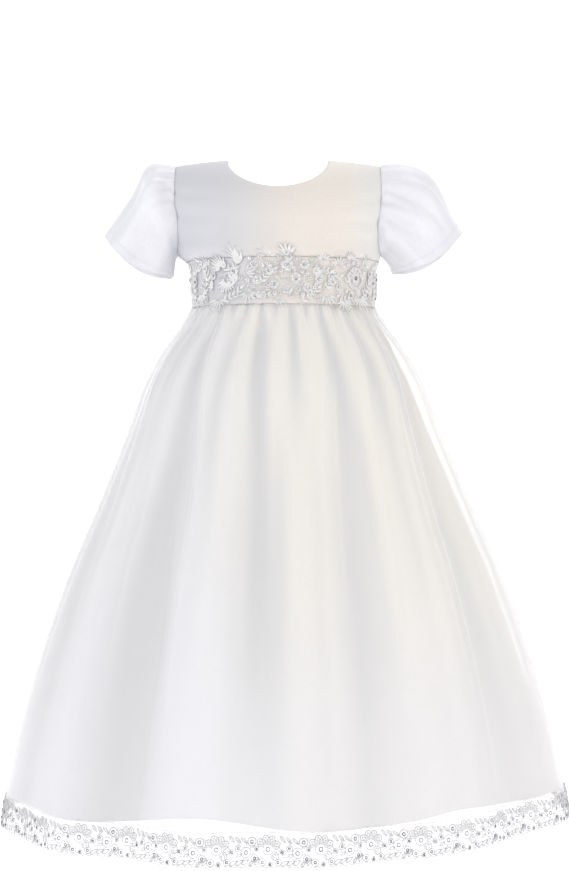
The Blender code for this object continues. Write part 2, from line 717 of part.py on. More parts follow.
def hem_turns():
    """Turns that part a quarter of the hem into short stretches of equal length."""
    width = SKIRT[-1].half_width
    depth = SKIRT[-1].depth
    lengths = [0.0]
    for k in range(HEM_STEPS):
        turn = SIDE * (k + 0.5) / HEM_STEPS
        lengths.append(lengths[-1] + math.hypot(width * math.cos(turn), depth * math.sin(turn)))
    return [length / lengths[-1] for length in lengths]


QUARTER_SHARES = hem_turns()


def turn_along(share):
    """The turn at a share of the half hem, from one side seam at -1 to the other at 1."""
    size = min(abs(share), 1.0)
    k = min(sum(1 for s in QUARTER_SHARES[1:] if s <= size), len(QUARTER_SHARES) - 2)
    part = (size - QUARTER_SHARES[k]) / (QUARTER_SHARES[k + 1] - QUARTER_SHARES[k])
    turn = SIDE * (k + part) / (len(QUARTER_SHARES) - 1)
    return math.copysign(turn, share)


def make_hem_lace(name, middle):
    """Half of the galloon: scalloped edges, with the larger openings of each repeat cut through."""
    half = REPEATS // 2
    edge = side_turn(SKIRT[-1].depth) / SIDE
    top = HEM_DROP - LACE_HEIGHT

    def place(repeats, down):
        share = edge * (2 * repeats / half - 1)
        return turn_along(share), top + down

    outline = []
    for k in range(half * TOP_POINTS + 1):
        wave = math.cos(2 * math.pi * k / TOP_POINTS)
        outline.append(place(k / TOP_POINTS, SCALLOP / 2 * (1 + wave)))
    for k in range(half * BOTTOM_POINTS, -1, -1):
        wave = abs(math.sin(2 * math.pi * k / BOTTOM_POINTS))
        outline.append(place(k / BOTTOM_POINTS, LACE_HEIGHT - SCALLOP * (1 - wave)))
    openings = []
    spots = []
    for number in range(half):
        for hole in HEM_OPENINGS:
            corners = [2 * math.pi * k / OPENING_SIDES for k in range(OPENING_SIDES)]
            openings.append([place(number + hole.along + hole.half_long * math.cos(c),
                                   LACE_HEIGHT * hole.down + hole.half_high * math.sin(c)) for c in corners])
        spots.append(place(number + HEM_SPOT_ALONG, LACE_HEIGHT / 2))
    places, triangles = fill(outline, openings, spots, HEM_RADIUS)
    placed = [(middle + u, v) for u, v in places]
    surface = moved_out(overlay_facet, LACE_LIFT + LACE, FACET_TURN, FACET_DROP)
    outer = [surface(u, v) for u, v in placed]
    resting = moved_out(overlay_facet, LACE_LIFT, FACET_TURN, FACET_DROP)
    inner = [resting(u, v) for u, v in placed]
    close_wall(name, outer, inner, triangles, LACE_THREAD)


def waist_ground(side):
    """What the waist lace lies on: the torso to the waist seam, and the tops of the gathers below it."""
    above = lapped(side)

    def surface(turn, run):
        fall = fall_at(run)
        if fall >= WAIST_FALL:
            return overlay_crests(turn, fall - WAIST_FALL)
        point = above(turn, run)
        crest = overlay_crests(turn, 0.0)
        share = ease(WAIST_FALL - LACE_BLEND, WAIST_FALL, fall)
        return point.lerp(Vector((crest.x, crest.y, point.z)), share)
    return surface


def lace_edge(turn, sprays):
    """How far the lace's edge reaches past its straight line, in sprays and leaf tips."""
    reach = max(row.height * bump(turn, row.turn, row.half_width) for row in sprays)
    return reach + LEAF_TIP * abs(math.cos(LEAVES_ROUND * turn / 2))


def make_waist_lace(name, start, end, side):
    """A length of the waist lace between two turns, in degrees."""
    count = round((end - start) / WAIST_LACE_STEP)
    turns = [math.radians(start + (end - start) * k / count) for k in range(count + 1)]
    outline = []
    for turn in turns:
        outline.append((turn, run_at(WAIST_LACE_TOP - lace_edge(turn, SPRAYS_UP))))
    for turn in reversed(turns):
        outline.append((turn, run_at(WAIST_LACE_BOTTOM + lace_edge(turn, SPRAYS_DOWN))))
    openings = []
    middle = run_at((WAIST_LACE_TOP + WAIST_LACE_BOTTOM) / 2)
    number = math.floor(start / WAIST_GAP_ROUND) + 1
    while number * WAIST_GAP_ROUND + WAIST_GAP_TURN + WAIST_GAP_CLEAR < end:
        turn = number * WAIST_GAP_ROUND
        run = middle + (WAIST_GAP_BELOW if number % 2 else -WAIST_GAP_ABOVE)
        if turn - WAIST_GAP_TURN - WAIST_GAP_CLEAR > start:
            corners = [2 * math.pi * k / OPENING_SIDES for k in range(OPENING_SIDES)]
            openings.append([(math.radians(turn + WAIST_GAP_TURN * math.cos(c)),
                              run + WAIST_GAP_RUN / 2 * math.sin(c)) for c in corners])
        number += 1
    spots = spread(outline, openings, WAIST_STEP_TURN, WAIST_STEP_RUN, WAIST_CLEAR_TURN, WAIST_CLEAR_RUN)
    places, triangles = fill(outline, openings, spots, WAIST_RADIUS)
    surface = moved_out(waist_ground(side), LACE_LIFT + LACE)
    outer = [surface(u, v) for u, v in places]
    resting = moved_out(waist_ground(side), LACE_LIFT)
    inner = [resting(u, v) for u, v in places]
    close_wall(name, outer, inner, triangles, LACE_THREAD)


def make_button(number, run):
    """A covered button, turned from a domed profile and set on the lapped back."""
    surface = lapped(1)
    seat = surface(math.pi, run)
    up = facing(surface, math.pi, run, BUTTON_STEP_TURN, BUTTON_STEP_RUN)
    seat += up * SEAM_GAP
    side = Vector((1, 0, 0))
    across = up.cross(side).normalized()
    vertices = [seat]
    for share, height in BUTTON_PROFILE:
        for k in range(BUTTON_SIDES):
            angle = 2 * math.pi * k / BUTTON_SIDES
            radial = side * math.cos(angle) + across * math.sin(angle)
            vertices.append(seat + radial * BUTTON_RADIUS * share + up * BUTTON_HEIGHT * height)
    vertices.append(seat + up * BUTTON_HEIGHT)
    faces = []
    top = len(vertices) - 1
    for k in range(BUTTON_SIDES):
        after = (k + 1) % BUTTON_SIDES
        faces.append((0, 1 + after, 1 + k))
        for ring in range(len(BUTTON_PROFILE) - 1):
            a = 1 + ring * BUTTON_SIDES
            faces.append((a + k, a + after, a + BUTTON_SIDES + after, a + BUTTON_SIDES + k))
        last = 1 + (len(BUTTON_PROFILE) - 1) * BUTTON_SIDES
        faces.append((last + k, last + after, top))
    add_part(f"button_{number}", vertices, faces, BUTTON_CLOTH)


for item in list(bpy.data.objects):
    bpy.data.objects.remove(item)

make_bodice_front()
make_bodice_back("bodice_back_left", -1)
make_bodice_back("bodice_back_right", 1)
make_waistband()
for cuff_row in CUFFS:
    make_sleeve(cuff_row)

overlay_rows = OVERLAY_FINE_ROWS + OVERLAY_ROWS
overlay_columns = [OVERLAY_COLUMNS] * len(OVERLAY_FINE_ROWS)
overlay_columns += [OVERLAY_COLUMNS // 2] * len(OVERLAY_ROWS)
lining_columns = [LINING_COLUMNS] * len(LINING_ROWS)
for ending, centre_turn in (("front", 0.0), ("back", math.pi)):
    make_skirt("skirt_overlay_" + ending, centre_turn, overlay, overlay_columns, overlay_rows, ORGANZA)
    make_skirt("skirt_lining_" + ending, centre_turn, lining, lining_columns, LINING_ROWS, LINING)
    make_hem_lace("hem_lace_" + ending, centre_turn)

side_gap = math.degrees(HALF_GAP / TORSO[-1].front_depth)
back_edge = math.degrees((LAP + LACE_PAST_LAP) / TORSO[-1].half_width)
make_waist_lace("waist_lace_front", -90 + side_gap, 90 - side_gap, -1)
make_waist_lace("waist_lace_back_left", 180 + back_edge, 270 - side_gap, -1)
make_waist_lace("waist_lace_back_right", 90 + side_gap, 180 - back_edge, 1)

for button_number, button_run in enumerate(BUTTON_RUNS, 1):
    make_button(button_number, button_run)
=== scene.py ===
import math
from collections import namedtuple

import bpy
import numpy as np
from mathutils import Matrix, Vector
from mathutils.geometry import delaunay_2d_cdt


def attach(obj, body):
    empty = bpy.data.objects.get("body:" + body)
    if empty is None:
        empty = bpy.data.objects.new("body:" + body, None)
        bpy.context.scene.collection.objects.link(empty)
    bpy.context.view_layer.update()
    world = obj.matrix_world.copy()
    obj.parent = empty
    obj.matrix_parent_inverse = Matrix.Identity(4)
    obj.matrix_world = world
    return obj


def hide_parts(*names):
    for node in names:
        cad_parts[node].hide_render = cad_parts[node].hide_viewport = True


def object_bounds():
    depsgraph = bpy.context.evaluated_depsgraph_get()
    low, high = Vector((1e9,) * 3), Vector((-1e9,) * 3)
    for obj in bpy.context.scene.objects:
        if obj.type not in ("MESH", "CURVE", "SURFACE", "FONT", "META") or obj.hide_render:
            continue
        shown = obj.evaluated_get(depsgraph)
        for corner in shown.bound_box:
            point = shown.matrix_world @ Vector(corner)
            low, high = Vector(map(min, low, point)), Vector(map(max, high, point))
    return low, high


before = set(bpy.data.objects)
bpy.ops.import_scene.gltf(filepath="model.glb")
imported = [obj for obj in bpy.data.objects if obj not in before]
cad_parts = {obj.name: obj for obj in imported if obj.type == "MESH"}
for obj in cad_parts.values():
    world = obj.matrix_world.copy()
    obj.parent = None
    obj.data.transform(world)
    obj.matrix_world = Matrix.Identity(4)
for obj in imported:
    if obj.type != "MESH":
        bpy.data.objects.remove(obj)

cad_box = [[float(value) for value in corner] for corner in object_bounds()]

# The studio: a white sweep of paper under and behind the gown, which hangs clear of it,
# with a soft light from the upper left, a warmer one from the right, one above, and a white room.
CAMERA_AWAY = 1.70
CAMERA_ACROSS = 0.0061
CAMERA_HEIGHT = -0.259
LENS = 74.75
FLOOR_BELOW_HEM = 0.16
LIT_MIDDLE = Vector((0, 0, -0.3))


def node(tree, kind, x=0, y=0, **settings):
    made = tree.nodes.new(kind)
    made.location = (x, y)
    for name, value in settings.items():
        setattr(made, name, value)
    return made


def new_material(name):
    """A node material, its tree, and the shader that the cloth's finish is set on."""
    material = bpy.data.materials.new(name)
    material.use_nodes = True
    tree = material.node_tree
    return material, tree, tree.nodes["Principled BSDF"]


def lay_paper():
    """Paper that glows a little. It is seen from its front alone, to leave the back view clear."""
    low = cad_box[0][2] - FLOOR_BELOW_HEM
    half_wide, near, far, high, bend = 4.5, -3.0, 2.9, 4.4, 0.8
    profile = [(near, low)]
    for k in range(13):
        angle = math.pi / 2 * k / 12
        profile.append((far - bend + bend * math.sin(angle), low + bend - bend * math.cos(angle)))
    profile.append((far, high))
    mesh = bpy.data.meshes.new("paper_sweep")
    points = [(x, y, z) for y, z in profile for x in (-half_wide, half_wide)]
    faces = [(2 * k, 2 * k + 1, 2 * k + 3, 2 * k + 2) for k in range(len(profile) - 1)]
    mesh.from_pydata(points, [], faces)
    sweep = bpy.data.objects.new("paper_sweep", mesh)
    bpy.context.scene.collection.objects.link(sweep)
    mesh.shade_smooth()
    material, tree, shader = new_material("white_paper")
    shader.inputs["Base Color"].default_value = (0.93, 0.93, 0.93, 1)
    shader.inputs["Roughness"].default_value = 0.9
    shader.inputs["Specular IOR Level"].default_value = 0.0
    shader.inputs["Emission Color"].default_value = (1, 1, 1, 1)
    shader.inputs["Emission Strength"].default_value = 0.46
    side = node(tree, "ShaderNodeNewGeometry", -600, -300)
    seen = node(tree, "ShaderNodeMath", -400, -300, operation="SUBTRACT")
    seen.inputs[0].default_value = 1.0
    tree.links.new(side.outputs["Backfacing"], seen.inputs[1])
    tree.links.new(seen.outputs[0], shader.inputs["Alpha"])
    mesh.materials.append(material)


def hang_light(name, place, size, power, colour):
    light = bpy.data.lights.new(name, "AREA")
    light.shape = "DISK"
    light.size = size
    light.energy = power
    light.color = colour
    lamp = bpy.data.objects.new(name, light)
    bpy.context.scene.collection.objects.link(lamp)
    lamp.location = place
    lamp.rotation_euler = (LIT_MIDDLE - Vector(place)).to_track_quat("-Z", "Y").to_euler()


lay_paper()
hang_light("window_left", (-1.9, -1.7, 0.9), 1.2, 15, (0.97, 0.98, 1.0))
hang_light("lamp_right", (2.0, -1.5, 0.5), 1.6, 12, (1.0, 0.96, 0.92))
hang_light("lamp_above", (0.2, 0.6, 1.8), 1.4, 10, (1.0, 1.0, 1.0))

world = bpy.data.worlds.new("white_room")
bpy.context.scene.world = world
world.use_nodes = True
world.node_tree.nodes["Background"].inputs["Color"].default_value = (0.975, 0.98, 1.0, 1)
world.node_tree.nodes["Background"].inputs["Strength"].default_value = 0.62

camera = bpy.data.objects.new("camera", bpy.data.cameras.new("camera"))
bpy.context.scene.collection.objects.link(camera)
camera.location = (CAMERA_ACROSS, -CAMERA_AWAY, CAMERA_HEIGHT)
camera.rotation_euler = (math.radians(90), 0, 0)
camera.data.lens = LENS
bpy.context.scene.camera = camera
bpy.context.scene.view_settings.view_transform = "Standard"

# The bodice: satin under organza, cut as a whole front and two halves that lap at the centre
# back. It rounds over the shoulders to seams along their tops, and its neck edge is stitched.
# All lengths are in metres, and a fall is how far a place lies below the shoulders.
SHOULDER_ROUND = 0.060
SHOULDER_SLOPE = 0.007
SHOULDER_REACH = 0.095
SWAY = 0.0053
BODICE_FALL = 0.0965
WAIST_FALL = 0.1396
UNDERARM_FALL = 0.090
NECK_HALF_WIDTH = 0.047
FRONT_NECK_DROP = 0.032
BACK_NECK_DROP = 0.021
LAP = 0.0075
LAP_RISE = 0.0015
LAP_FLAT = 0.022
LAP_RAMP = 0.018
LAP_WIDTH_AT = 0.0965
BODICE_SIDE_DEPTH = 0.0616
WAIST_SIDE_DEPTH = 0.063
CLOTH = 0.0008
SIDE = math.radians(90)
SEAM = 0.00015
CUT_STEP = 0.0021
CUT_ROUND = 0.09

# The torso's section at each fall: half its width, and its depth to the front and to the back
Torso = namedtuple("Torso", "fall half_width front_depth back_depth")
TORSO = [
    Torso(0.0000, 0.1120, 0.0600, 0.0580),
    Torso(0.0300, 0.1070, 0.0600, 0.0580),
    Torso(0.0500, 0.1030, 0.0600, 0.0580),
    Torso(0.0650, 0.1000, 0.0603, 0.0582),
    Torso(0.0800, 0.0965, 0.0610, 0.0586),
    Torso(0.0900, 0.0940, 0.0615, 0.0590),
    Torso(0.0965, 0.0900, 0.0616, 0.0592),
    Torso(0.1070, 0.0868, 0.0620, 0.0596),
    Torso(0.1396, 0.0860, 0.0630, 0.0610),
]

# How far out the armhole's edge lies at each fall
Armhole = namedtuple("Armhole", "fall half_width")
ARMHOLE = [
    Armhole(0.000, 0.0950),
    Armhole(0.040, 0.0955),
    Armhole(0.052, 0.0938),
    Armhole(0.065, 0.0925),
    Armhole(0.080, 0.0930),
    Armhole(0.090, 0.0940),
]


def read(rows, column, at):
    """Smooth values of one column of a table, whose rows are ordered by their first column."""
    keys = np.array([row[0] for row in rows])
    values = np.array([getattr(row, column) for row in rows])
    at = np.clip(np.asarray(at, float), keys[0], keys[-1])
    slopes = np.diff(values) / np.diff(keys)
    product = slopes[:-1] * slopes[1:]
    total = slopes[:-1] + slopes[1:]
    inner = np.where(product > 0, 2 * product / np.where(total == 0, 1, total), 0)
    start = np.concatenate([slopes[:1], inner])
    end = np.concatenate([inner, slopes[-1:]])
    i = np.clip(np.searchsorted(keys, at, side="right") - 1, 0, len(slopes) - 1)
    span = (keys[1:] - keys[:-1])[i]
    t = (at - keys[i]) / span
    rise = t * t * (3 - 2 * t)
    return (values[i] + (values[i + 1] - values[i]) * rise
            + span * t * (1 - t) * (start[i] * (1 - t) - end[i] * t))


def ease(start, end, at):
    t = np.clip((np.asarray(at, float) - start) / (end - start), 0, 1)
    return t * t * (3 - 2 * t)


def bump(turn, centre, half_width):
    apart = (np.degrees(turn) - centre + 180) % 360 - 180
    return np.exp(-(apart / half_width) ** 2)


def ripple(at, waves, seed):
    """An uneven wave round the gown, about one high, that closes after a whole turn."""
    shift = 0.9 * np.sin(2 * at + seed) + 0.7 * np.sin(5 * at + 2.3 * seed)
    return np.cos(waves * at + shift + seed) * (0.72 + 0.28 * np.sin(3 * at + 1.7 * seed))


def fall_at(run):
    """How far below the shoulders a place lies, from its way down the cloth over the shoulder."""
    run = np.asarray(run, float)
    quarter = SHOULDER_ROUND * math.pi / 2
    bent = SHOULDER_ROUND * (1 - np.cos(run / SHOULDER_ROUND))
    return np.where(run < quarter, bent, SHOULDER_ROUND + run - quarter)


def run_at(fall):
    fall = np.asarray(fall, float)
    bent = SHOULDER_ROUND * np.arccos(np.clip(1 - fall / SHOULDER_ROUND, -1, 1))
    return np.where(fall < SHOULDER_ROUND, bent, SHOULDER_ROUND * math.pi / 2 + fall - SHOULDER_ROUND)


def torso(turn, run):
    """Outer face of the torso: turn 0 is the front, and run is the way down from the shoulder."""
    turn = np.asarray(turn, float)
    fall = fall_at(run)
    swell = np.sin(np.minimum(run / SHOULDER_ROUND, math.pi / 2))
    front, back = read(TORSO, "front_depth", fall), read(TORSO, "back_depth", fall)
    depth = np.where(np.cos(turn) > 0, front, back)
    x = read(TORSO, "half_width", fall) * np.sin(turn)
    slope = SHOULDER_SLOPE * (x / SHOULDER_REACH) ** 2 * (1 - ease(0, SHOULDER_ROUND, fall))
    swayed = x + SWAY * ease(0.086, 0.100, fall)
    return np.stack([swayed, -depth * swell * np.cos(turn), -fall - slope], -1)


def facing(surface, u, v, u_step=0.004, v_step=0.0005):
    """Which way a surface faces, out of the gown."""
    across = surface(u + u_step, v) - surface(u - u_step, v)
    down = surface(u, v + v_step) - surface(u, v - v_step)
    out = np.cross(down, across)
    return out / np.linalg.norm(out, axis=-1, keepdims=True)


def inside(points, loop):
    """Which of the points lie inside a loop of places."""
    x, y = points[:, 0], points[:, 1]
    found = np.zeros(len(points), bool)
    for (x0, y0), (x1, y1) in zip(loop, np.roll(loop, -1, 0)):
        crosses = (y0 > y) != (y1 > y)
        where = x0 + (x1 - x0) * (y - y0) / (y1 - y0 if y1 != y0 else 1)
        found ^= crosses & (x < where)
    return found


def cut_cloth(outline, scale, step):
    """Places and triangles of a flat piece with a curved outline, filled with a fine even grid."""
    outline = np.array(outline, float)
    flat = outline * (scale, 1)
    low, high = flat.min(0), flat.max(0)
    columns, rows = [np.arange(low[axis], high[axis], step) for axis in (0, 1)]
    grid = np.stack(np.meshgrid(columns, rows), -1).reshape(-1, 2)
    clear = [grid + (a * step * 0.45, b * step * 0.45) for a in (-1, 0, 1) for b in (-1, 0, 1)]
    keep = np.all([inside(c, flat) for c in clear], 0)
    points = np.vstack([flat, grid[keep]])
    edges = [(k, (k + 1) % len(flat)) for k in range(len(flat))]
    faces = delaunay_2d_cdt([Vector(p) for p in points], edges, [], 0, 1e-7, False)[2]
    faces = np.array([f for f in faces if len(f) == 3])
    faces = faces[inside(points[faces].mean(1), flat)]
    return points / (scale, 1), faces


def sew(name, points, faces, material, uv=None, thick=None, stands_for=()):
    """A piece of the gown from its points and faces, riding with the gown and dressed in its cloth."""
    mesh = bpy.data.meshes.new(name)
    corners = [tuple(int(k) for k in face) for face in faces]
    mesh.from_pydata([tuple(point) for point in np.asarray(points, float)], [], corners)
    if uv is not None:
        layer = mesh.uv_layers.new(name="cut")
        corners = np.array([loop.vertex_index for loop in mesh.loops])
        layer.data.foreach_set("uv", np.asarray(uv, np.float32)[corners].ravel())
    mesh.shade_smooth()
    mesh.materials.append(material)
    piece = bpy.data.objects.new(name, mesh)
    bpy.context.scene.collection.objects.link(piece)
    if thick:
        wall = piece.modifiers.new("cloth", "SOLIDIFY")
        wall.thickness = thick
        wall.offset = -1
        wall.use_even_offset = False
    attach(piece, "root")
    if stands_for:
        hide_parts(*stands_for)
    return piece


def side_turn(depth):
    """The turn of a side seam's edge, a hair short of the seam itself."""
    return SIDE - SEAM / depth


def armhole_turn(fall):
    share = read(ARMHOLE, "half_width", fall) / read(TORSO, "half_width", fall)
    return np.arcsin(np.minimum(share, 1))


def armhole_run(share):
    return run_at(UNDERARM_FALL) * np.sin(np.asarray(share) * math.pi / 2)


def half_bodice(drop, end):
    """Outline of the right half of a bodice piece: neckline, shoulder, armhole, then its lower edge."""
    limit = side_turn(BODICE_SIDE_DEPTH)
    share = np.linspace(0.97, 0, 34)
    run = run_at(drop) * np.sin(share * math.pi / 2)
    fall = fall_at(run)
    x = NECK_HALF_WIDTH * np.sqrt(np.maximum(1 - (fall / drop) ** 2, 0))
    neck = np.stack([np.arcsin(x / read(TORSO, "half_width", fall)), np.maximum(run, SEAM)], -1)
    tip = float(armhole_turn(0.0))
    ridge = np.stack([np.linspace(neck[-1, 0], tip, 18)[1:], np.full(17, SEAM)], -1)
    run = armhole_run(np.linspace(0, 1, 60)[1:])
    armhole = np.stack([np.minimum(armhole_turn(fall_at(run)), limit), run], -1)
    bottom = float(run_at(BODICE_FALL)) - SEAM
    hem = np.stack([np.linspace(limit, end, 60), np.full(60, bottom)], -1)
    return np.vstack([neck, ridge, armhole, hem])


def lapped(side):
    """The torso at the back, where the right half rises over the left near the middle."""
    def surface(turn, run):
        point = torso(turn, run)
        if side < 0:
            return point
        across = read(TORSO, "half_width", fall_at(run)) * np.sin(turn)
        rise = LAP_RISE * (1 - ease(LAP_FLAT, LAP_FLAT + LAP_RAMP, across))
        return point + facing(torso, turn, run) * rise[..., None]
    return surface


# A drag line of the bodice: its side, the fall where it starts, its slope and its depth
DRAG_LINES = [(-1, 0.030, 0.30, 0.0010), (-1, 0.055, 0.12, 0.0012), (1, 0.038, 0.25, 0.0009),
              (1, 0.062, 0.10, 0.0012), (1, 0.080, -0.08, 0.0008), (-1, 0.078, -0.12, 0.0009)]


def bodice_creases(turn, run):
    """Soft creases: drag lines from the armholes, a slack roll above the band, and faint hollows."""
    fall = fall_at(run)
    across = np.degrees(turn)
    low = ease(0.070, 0.094, fall)
    roll = 0.0011 * low * ripple(turn, 13, 0.6) * (1 - ease(0.092, 0.0965, fall))
    drag = np.zeros_like(roll)
    for side, start, slope, depth in DRAG_LINES:
        reach = np.clip(1 - (side * across) / 70, 0, 1)
        line = start + slope * 0.06 * reach
        front = np.exp(-((fall - line) / 0.0055) ** 2) * np.exp(-((side * across - 58) / 22) ** 2)
        drag -= depth * front
    hollow = -0.0008 * np.exp(-(((across + 22) / 16) ** 2)) * np.exp(-((fall - 0.060) / 0.022) ** 2)
    hollow += 0.0007 * np.exp(-(((across - 14) / 18) ** 2)) * np.exp(-((fall - 0.070) / 0.020) ** 2)
    return (roll + drag + hollow) * (1 - bump(turn, 180, 14))


def weave(tree, shader, pitch, strength):
    """Fine crossed threads as a bump, a pitch apart both ways, with thicker ones here and there."""
    x = -900
    cut = node(tree, "ShaderNodeUVMap", x, -300, uv_map="cut")
    waves = []
    for turn_to, y in (("X", -250), ("Y", -450)):
        wave = node(tree, "ShaderNodeTexWave", x + 200, y, wave_type="BANDS", bands_direction=turn_to)
        wave.inputs["Scale"].default_value = 0.314 / pitch
        wave.inputs["Distortion"].default_value = 0.6
        wave.inputs["Detail"].default_value = 1.0
        tree.links.new(cut.outputs["UV"], wave.inputs["Vector"])
        waves.append(wave)
    both = node(tree, "ShaderNodeMath", x + 420, -350, operation="ADD")
    tree.links.new(waves[0].outputs["Fac"], both.inputs[0])
    tree.links.new(waves[1].outputs["Fac"], both.inputs[1])
    slub = node(tree, "ShaderNodeTexNoise", x + 200, -650)
    slub.inputs["Scale"].default_value = 260
    slub.inputs["Detail"].default_value = 4
    tree.links.new(cut.outputs["UV"], slub.inputs["Vector"])
    mixed = node(tree, "ShaderNodeMath", x + 620, -450, operation="MULTIPLY_ADD")
    tree.links.new(slub.outputs["Fac"], mixed.inputs[0])
    mixed.inputs[1].default_value = 0.3
    tree.links.new(both.outputs[0], mixed.inputs[2])
    raised = node(tree, "ShaderNodeBump", x + 780, -350)
    raised.inputs["Strength"].default_value = strength
    raised.inputs["Distance"].default_value = pitch * 0.5
    tree.links.new(mixed.outputs[0], raised.inputs["Height"])
    tree.links.new(raised.outputs["Normal"], shader.inputs["Normal"])
    return slub


def fade(tree, source, output, low, high, to_low=0.0, to_high=1.0, x=0, y=0):
    """A smooth share between two limits of a measure."""
    span = node(tree, "ShaderNodeMapRange", x, y, interpolation_type="SMOOTHSTEP")
    span.inputs["From Min"].default_value = low
    span.inputs["From Max"].default_value = high
    span.inputs["To Min"].default_value = to_low
    span.inputs["To Max"].default_value = to_high
    tree.links.new(source.outputs[output], span.inputs["Value"])
    return span


def blend_colours(tree, share, first, second, x=0, y=0):
    """One colour turning into another, where each is a plain colour or another node's colour."""
    mix = node(tree, "ShaderNodeMix", x, y, data_type="RGBA")
    tree.links.new(share.outputs[0], mix.inputs["Factor"])
    for socket, colour in ((mix.inputs[6], first), (mix.inputs[7], second)):
        if isinstance(colour, tuple):
            socket.default_value = (*colour, 1)
        else:
            tree.links.new(colour.outputs[2], socket)
    return mix


def satin(name, cool_shaded, warm_lit, pale):
    """Ivory satin under organza with painted light on it: a painted cool shade at the left, a painted
    warm light right of the middle, and paler towards the right side.
    """
    material, tree, shader = new_material(name)
    slub = weave(tree, shader, 0.0007, 0.22)
    place = node(tree, "ShaderNodeTexCoord", -1300, 300)
    axes = node(tree, "ShaderNodeSeparateXYZ", -1100, 300)
    tree.links.new(place.outputs["Object"], axes.inputs[0])
    # Painted light: the colour turns from the painted cool shade at the left to the painted warm light
    # right of the middle, then paler at the right side.
    to_warm_lit = fade(tree, axes, "X", -0.062, 0.030, x=-900, y=420)
    to_pale = fade(tree, axes, "X", 0.056, 0.090, x=-900, y=180)
    first = blend_colours(tree, to_warm_lit, cool_shaded, warm_lit, -650, 400)
    second = blend_colours(tree, to_pale, first, pale, -450, 300)
    cloud = fade(tree, slub, "Fac", 0.35, 0.70, 0.0, 0.10, x=-450, y=60)
    third = blend_colours(tree, cloud, second, (0.60, 0.60, 0.62), -250, 250)
    tree.links.new(third.outputs[2], shader.inputs["Base Color"])
    shader.inputs["Roughness"].default_value = 0.48
    shader.inputs["Sheen Weight"].default_value = 0.25
    shader.inputs["Sheen Roughness"].default_value = 0.4
    return material


# The bodice satin's ivory with painted light: painted cool shade at the left, painted warm light right
# of the middle, paler at the right side.
BODICE_COOL_SHADED = (0.655, 0.655, 0.685)
BODICE_WARM_LIT = (0.835, 0.770, 0.700)
BODICE_PALE = (0.805, 0.795, 0.765)
bodice_cloth = satin("bodice_satin", BODICE_COOL_SHADED, BODICE_WARM_LIT, BODICE_PALE)


def lay_bodice(name, outline, turned, surface):
    places, faces = cut_cloth(outline, CUT_ROUND, CUT_STEP)
    turn, run = turned(places[:, 0]), places[:, 1]
    points = surface(turn, run)
    points = points + facing(surface, turn, run) * bodice_creases(turn, run)[:, None]
    uv = np.stack([turn * CUT_ROUND, run], -1)
    piece = sew(name + "_cloth", points, faces, bodice_cloth, uv, CLOTH, [name])


front_half = half_bodice(FRONT_NECK_DROP, 0.0)
front_low = float(run_at(FRONT_NECK_DROP))
front_outline = np.vstack([[(0.0, front_low)], front_half, front_half[-2::-1] * (-1, 1)])
lay_bodice("bodice_front", front_outline, lambda turn: turn, torso)
lap_turn = LAP / LAP_WIDTH_AT
back_half = half_bodice(BACK_NECK_DROP, -lap_turn)
back_low = float(run_at(BACK_NECK_DROP))
back_outline = np.vstack([[(-lap_turn, back_low), (0.0, back_low)], back_half])
for side_name, side in (("left", -1), ("right", 1)):
    lay_bodice("bodice_back_" + side_name, back_outline, lambda turn: math.pi - side * turn,
               lapped(side))


thread_white, thread_tree, thread_shader = new_material("white_thread")
thread_shader.inputs["Base Color"].default_value = (0.80, 0.79, 0.79, 1)
thread_shader.inputs["Roughness"].default_value = 0.55
twist = node(thread_tree, "ShaderNodeTexWave", -500, 0, wave_type="BANDS", bands_direction="DIAGONAL")
twist.inputs["Scale"].default_value = 900
twist_bump = node(thread_tree, "ShaderNodeBump", -250, -100)
twist_bump.inputs["Strength"].default_value = 0.3
twist_bump.inputs["Distance"].default_value = 0.0001
thread_tree.links.new(twist.outputs["Fac"], twist_bump.inputs["Height"])
thread_tree.links.new(twist_bump.outputs["Normal"], thread_shader.inputs["Normal"])


# A stitch is a short thread that dips into the cloth at both ends. Starts and stops are
# shares of the way from one stitch to the next.
STITCH_THREAD = 0.00014
STITCH_RISE = 0.00022


def stitch_row(name, points, out, pitch, starts, stops, sunk):
    """Machine stitches along a line of points, where out is which way the cloth faces."""
    along = np.concatenate([[0], np.cumsum(np.linalg.norm(np.diff(points, axis=0), axis=1))])
    vertices, faces = [], []
    for k in range(int(along[-1] / pitch)):
        at = [pitch * (k + share) for share in (starts, 0.5, stops)]
        ends = [np.array([np.interp(a, along, points[:, axis]) for axis in range(3)]) for a in at]
        up = np.array([np.interp(at[1], along, out[:, axis]) for axis in range(3)])
        ahead = (ends[2] - ends[0]) / np.linalg.norm(ends[2] - ends[0])
        wide = np.cross(up, ahead)
        base = len(vertices)
        for point, rise in zip(ends, (sunk, STITCH_RISE, sunk)):
            for angle in (0, math.pi / 2, math.pi, 3 * math.pi / 2):
                ring = STITCH_THREAD * (math.cos(angle) * wide + math.sin(angle) * up)
                vertices.append(point + up * rise + ring)
        for ring in (base, base + 4):
            for j in range(4):
                after = (j + 1) % 4
                faces.append((ring + j, ring + after, ring + 4 + after, ring + 4 + j))
        faces += [(base + 3, base + 2, base + 1, base), (base + 8, base + 9, base + 10, base + 11)]
    return sew(name, vertices, faces, thread_white)


def edge_stitch(name, surface, turns, runs):
    """Stitches of the bodice and band along a line of turns and runs."""
    points, out = surface(turns, runs), facing(surface, turns, runs)
    stitch_row(name, points, out, 0.0022, 0.12, 0.82, 0.00002)


NECK_STITCH_IN = 0.0042
NECK_STITCH_DOWN = 0.0008
NECK_ROUND = 0.105


